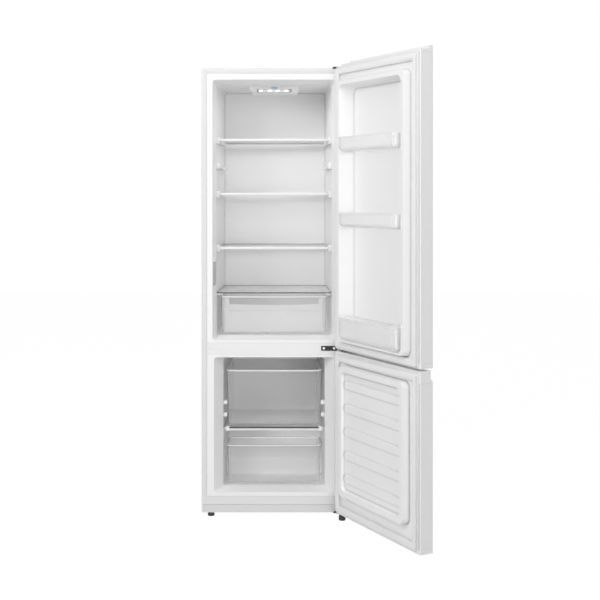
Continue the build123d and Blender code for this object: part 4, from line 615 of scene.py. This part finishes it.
def seal_frame(node):
    """The seal's profile carried round a door's edge, with a mitre at each corner."""
    low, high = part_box(node)
    profile = rounded([(u * mm, n * mm) for u, n in bellows], rounds=2)
    half = cabinet_high[0] - seal_inset
    corners = [(-1, low[2], 1), (1, low[2], 1), (1, high[2], -1), (-1, high[2], -1)]
    points = [
        swung_open @ Vector((side * (half - u), door_inner_y + n, level + up * u))
        for side, level, up in corners for u, n in profile
    ]
    count = len(profile)
    faces = []
    for corner in range(4):
        this, following = corner * count, (corner + 1) % 4 * count
        for i in range(count):
            j = (i + 1) % count
            faces.append((this + i, this + j, following + j, following + i))
    return mesh_of(node + "_bellows", points, faces)


white_vinyl = skinned("white_vinyl", (0.9, 0.9, 0.9), rough=0.5, spread=0.08, drift=0.01,
                      peel_scale=500.0, peel_depth=0.03 * mm)
for door in ("upper_door", "lower_door"):
    seal = add_piece(door + "_seal", seal_frame(door + "_gasket"), white_vinyl, door)
    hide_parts(door + "_gasket")

# Groove shade strips
# A half round grey strip in the groove between each door's steel skin and its liner, along both
# upright edges: painted shade, standing in for the shade in that groove.
bead_outer = 5.3 * mm
bead_inner = 8.7 * mm
bead_depth = 2.4 * mm
bead_height = 1.5 * mm
bead_end_gap = 1.0 * mm
bead_steps = 8


def edge_beads(skin_node):
    """The vertices and faces of a half round bead along both upright edges of a door."""
    low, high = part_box(skin_node)
    points, faces = [], []
    for side in (-1, 1):
        first = len(points)
        for step in range(bead_steps + 1):
            share = step / bead_steps
            across = bead_outer + (bead_inner - bead_outer) * share
            depth = door_inner_y - bead_depth + bead_height * sin(pi * share)
            for level in (low[2] + bead_end_gap, high[2] - bead_end_gap):
                points.append(swung_open @ Vector((side * (cabinet_high[0] - across), depth, level)))
        last = first + 2 * bead_steps
        for a in range(first, last, 2):
            faces.append((a, a + 1, a + 3, a + 2))
        faces.append((first, last, last + 1, first + 1))
        faces.append(tuple(range(first, last + 1, 2)))
        faces.append(tuple(range(last + 1, first, -2)))
    return points, faces


# Painted shade: a mid grey strip put where the groove has only shade.
groove_shade_grey = skinned("groove_shade_grey", (0.42, 0.42, 0.42), rough=0.6, spread=0.1, drift=0.04,
                       peel_scale=300.0, peel_depth=0.06 * mm)
for door in ("upper_door", "lower_door"):
    bead = mesh_of(door + "_bead", *edge_beads(door + "_skin"))
    add_piece(door + "_bead", bead, groove_shade_grey, door)

# Hinge screws
# Pan head screws with a cross recess, bright zinc plated, two or three to each hinge.
head_radius = 4.6 * mm
head_rise = 2.0 * mm
dome_fall = 0.75
recess_half_width = 0.55 * mm
recess_reach = 2.5 * mm
recess_floor = 0.35
recess_slope = 0.3
weld_distance = 0.01 * mm
lowest_top_screw = 1.0


def screw_head():
    """The vertices and faces of a domed head with a cross recess, standing on the origin."""
    rings, spokes = 18, 64
    points = [(0, 0, head_rise * recess_floor)]
    for ring in range(1, rings + 1):
        radius = head_radius * ring / rings
        for spoke in range(spokes):
            x = radius * cos(2 * pi * spoke / spokes)
            y = radius * sin(2 * pi * spoke / spokes)
            rise = 1 - dome_fall * (radius / head_radius) ** 4
            narrow, far = sorted((abs(x), abs(y)))
            if narrow < recess_half_width and far < recess_reach:
                rise = recess_floor + recess_slope * far / recess_reach
            points.append((x, y, head_rise * rise))
    faces = [(0, 1 + spoke, 1 + (spoke + 1) % spokes) for spoke in range(spokes)]
    rim = 1 + (rings - 1) * spokes
    points += [(x, y, 0) for x, y, _ in points[rim:]]
    for inner in range(1, rim + 1, spokes):
        outer = inner + spokes
        for spoke in range(spokes):
            following = (spoke + 1) % spokes
            faces.append((inner + spoke, outer + spoke, outer + following, inner + following))
    return points, faces


def solids_of(node):
    """The lowest and highest corner of each separate solid of a CAD node."""
    work = bmesh.new()
    work.from_mesh(frame["nodes"][node].data)
    bmesh.ops.remove_doubles(work, verts=work.verts, dist=weld_distance)
    found = set()
    boxes = []
    for start in work.verts:
        if start in found:
            continue
        found.add(start)
        solid = [start]
        for vertex in solid:
            joined = [end for edge in vertex.link_edges for end in edge.verts if end not in found]
            found.update(joined)
            solid += joined
        places = [vertex.co for vertex in solid]
        boxes.append([
            Vector([limit(place[axis] for place in places) for axis in range(3)]) for limit in (min, max)
        ])
    work.free()
    return boxes


points, faces = [], []
for low, high in solids_of("hinge_screws"):
    middle = (low + high) / 2
    size = high - low
    if abs(size.x - size.z) < abs(size.x - size.y):
        base, turn = (middle.x, low.y + head_rise, middle.z), 90
    elif middle.z > lowest_top_screw:
        base, turn = (middle.x, middle.y, high.z - head_rise), 0
    else:
        base, turn = (middle.x, middle.y, low.z + head_rise), 180
    place = Matrix.Translation(base) @ Matrix.Rotation(radians(turn), 4, "X")
    head_points, head_faces = screw_head()
    faces += [tuple(len(points) + index for index in face) for face in head_faces]
    points += [place @ Vector(point) for point in head_points]
bright_zinc = sheet_metal("bright_zinc", (0.9, 0.9, 0.9), cell_scale=900.0, cell_drift=0.06, rough=0.38,
                          dusty=0.0)
screw_mesh = mesh_of("cross_recess_screws", points, faces, smooth_angle=30)
screws = add_piece("cross_recess_screws", screw_mesh, bright_zinc, "cabinet")
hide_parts("hinge_screws")

# Ceiling light
# A white circuit strip with four light emitting diodes, which stands behind the clear strip.
lens_low, lens_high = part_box("lamp_lens")
strip_half = lens_high[0] - 6.0 * mm
strip_y = lens_high[1] + 1.0 * mm
strip_low = lens_low[2] + 3.8 * mm
strip_high = lens_high[2] - 0.4 * mm
strip_z = (strip_low + strip_high) / 2
strip_thick = 1.2 * mm
strip_corner = 1.0 * mm
board_painted_glow = 0.2
diode_places = (-54 * mm, -18 * mm, 13 * mm, 47 * mm)
diode_half_width = 7.0 * mm
diode_half_height = 1.1 * mm
diode_rise = 1.1 * mm
diode_root = 0.1 * mm
diode_corner = 1.0 * mm
diode_light = 3.0
lamp_back = 4.0 * mm
lamp_drop = 3.0 * mm
lamp_lean = 20.0 * mm
lamp_aim_level = 0.6


def rounded_plate(centre, half_x, half_z, front_y, rear_y, corner, steps=6):
    """The vertices and faces of an upright plate with rounded corners."""
    outline = []
    for quarter in range(4):
        sign_x = 1 if quarter in (0, 3) else -1
        sign_z = 1 if quarter in (0, 1) else -1
        for step in range(steps + 1):
            angle = pi / 2 * (quarter + step / steps)
            x = sign_x * (half_x - corner) + corner * cos(angle)
            z = sign_z * (half_z - corner) + corner * sin(angle)
            outline.append((centre[0] + x, centre[1] + z))
    count = len(outline)
    points = [(x, front_y, z) for x, z in outline] + [(x, rear_y, z) for x, z in outline]
    faces = [tuple(range(count)), tuple(reversed(range(count, 2 * count)))]
    faces += [(i, count + i, count + (i + 1) % count, (i + 1) % count) for i in range(count)]
    return points, faces


strip_points, strip_faces = rounded_plate(
    (0, strip_z), strip_half, (strip_high - strip_low) / 2, strip_y, strip_y + strip_thick, strip_corner,
)
strip_mesh = mesh_of("light_strip", strip_points, strip_faces)
# Painted light: the strip glows faintly, standing in for the glow that spreads between the diodes.
board_white = skinned("board_white", (0.85, 0.85, 0.85), rough=0.45, spread=0.1, drift=0.02,
                      peel_scale=700.0, peel_depth=0.04 * mm, Emission_Color=(1, 1, 1, 1),
                      Emission_Strength=board_painted_glow)
add_piece("light_strip", strip_mesh, board_white, "cabinet")
points, faces = [], []
for x in diode_places:
    diode_points, diode_faces = rounded_plate(
        (x, strip_z), diode_half_width, diode_half_height, strip_y - diode_rise, strip_y + diode_root,
        diode_corner,
    )
    faces += [tuple(len(points) + index for index in face) for face in diode_faces]
    points += diode_points
diode_glow, tree, output = material("diode_glow")
shader = principled(tree, output, Base_Color=(1, 1, 1, 1), Emission_Strength=diode_light)
warmth = effect(tree, "smooth_skin", Colour=(1.0, 0.99, 0.97, 1), Drift=0.03, Rough=0.4)
tree.links.new(warmth["Colour"], shader.inputs["Emission Color"])
tree.links.new(warmth["Roughness"], shader.inputs["Roughness"])
add_piece("light_diodes", mesh_of("light_diodes", points, faces), diode_glow, "cabinet")
lamp_middle = (0, lens_low[1] + lamp_back, lens_low[2] - lamp_drop)
lamp_aim = (0, lens_low[1] - lamp_lean, lamp_aim_level)
soft_box("ceiling_light", lamp_middle, lamp_aim, width=0.13, height=0.03, power=0.26)

# Front edge of the freezer's pane
# The pane's front edge, which stays open above its white strip, drawn as a near black strip:
# painted shade, standing in for the dark of so wide a pane's edge.
pane_edge_inset = 12.0 * mm
pane_edge_lift = 1.2 * mm
pane_edge_excess = 0.7 * mm
pane_edge_front = 0.15 * mm
pane_edge_depth = 0.5 * mm
pane_edge_corner = 0.8 * mm

pane_low, pane_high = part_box("freezer_shelf")
edge_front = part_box("freezer_shelf_trim")[0][1] - pane_edge_front
edge_points, edge_faces = rounded_plate(
    (0, (pane_low[2] + pane_high[2]) / 2 + pane_edge_lift), pane_high[0] - pane_edge_inset,
    (pane_high[2] - pane_low[2]) / 2 + pane_edge_excess, edge_front, edge_front + pane_edge_depth,
    pane_edge_corner,
)
pane_edge_shade = skinned("pane_edge_shade", (0.05, 0.055, 0.052), rough=0.3, spread=0.1, drift=0.05,
                       peel_scale=500.0, peel_depth=0.02 * mm)
add_piece("freezer_pane_edge", mesh_of("freezer_pane_edge", edge_points, edge_faces), pane_edge_shade,
          "freezer_shelf")

# Plate on the left wall
# A bare aluminium foil plate stuck on the slope of the fridge's mouth.
mouth_depth = 46.0 * mm
mouth_step = 13.0 * mm
mouth_inset = 41.0 * mm
plate_levels = (859.0 * mm, 950.0 * mm)
plate_depths = (8.0 * mm, 42.0 * mm)
plate_lifts = (0.02 * mm, 0.25 * mm)

slope = Vector((mouth_step, mouth_depth, 0)).normalized()
outward = Vector((slope.y, -slope.x, 0))
foil_points = []
for lift in plate_lifts:
    for depth in plate_depths:
        wall_x = mouth_inset - cabinet_high[0] + mouth_step * depth / mouth_depth
        for level in plate_levels:
            foil_points.append(Vector((wall_x, cabinet_low[1] + depth, level)) + outward * lift)
foil_faces = [(0, 1, 3, 2), (4, 6, 7, 5), (0, 4, 5, 1), (2, 3, 7, 6), (0, 2, 6, 4), (1, 5, 7, 3)]
foil = mesh_of("wall_plate", foil_points, foil_faces)
plate_foil = sheet_metal("plate_foil", (0.68, 0.69, 0.7), cell_scale=500.0, cell_drift=0.06, rough=0.45,
                         dusty=0.0)
add_piece("wall_plate", foil, plate_foil, "cabinet")
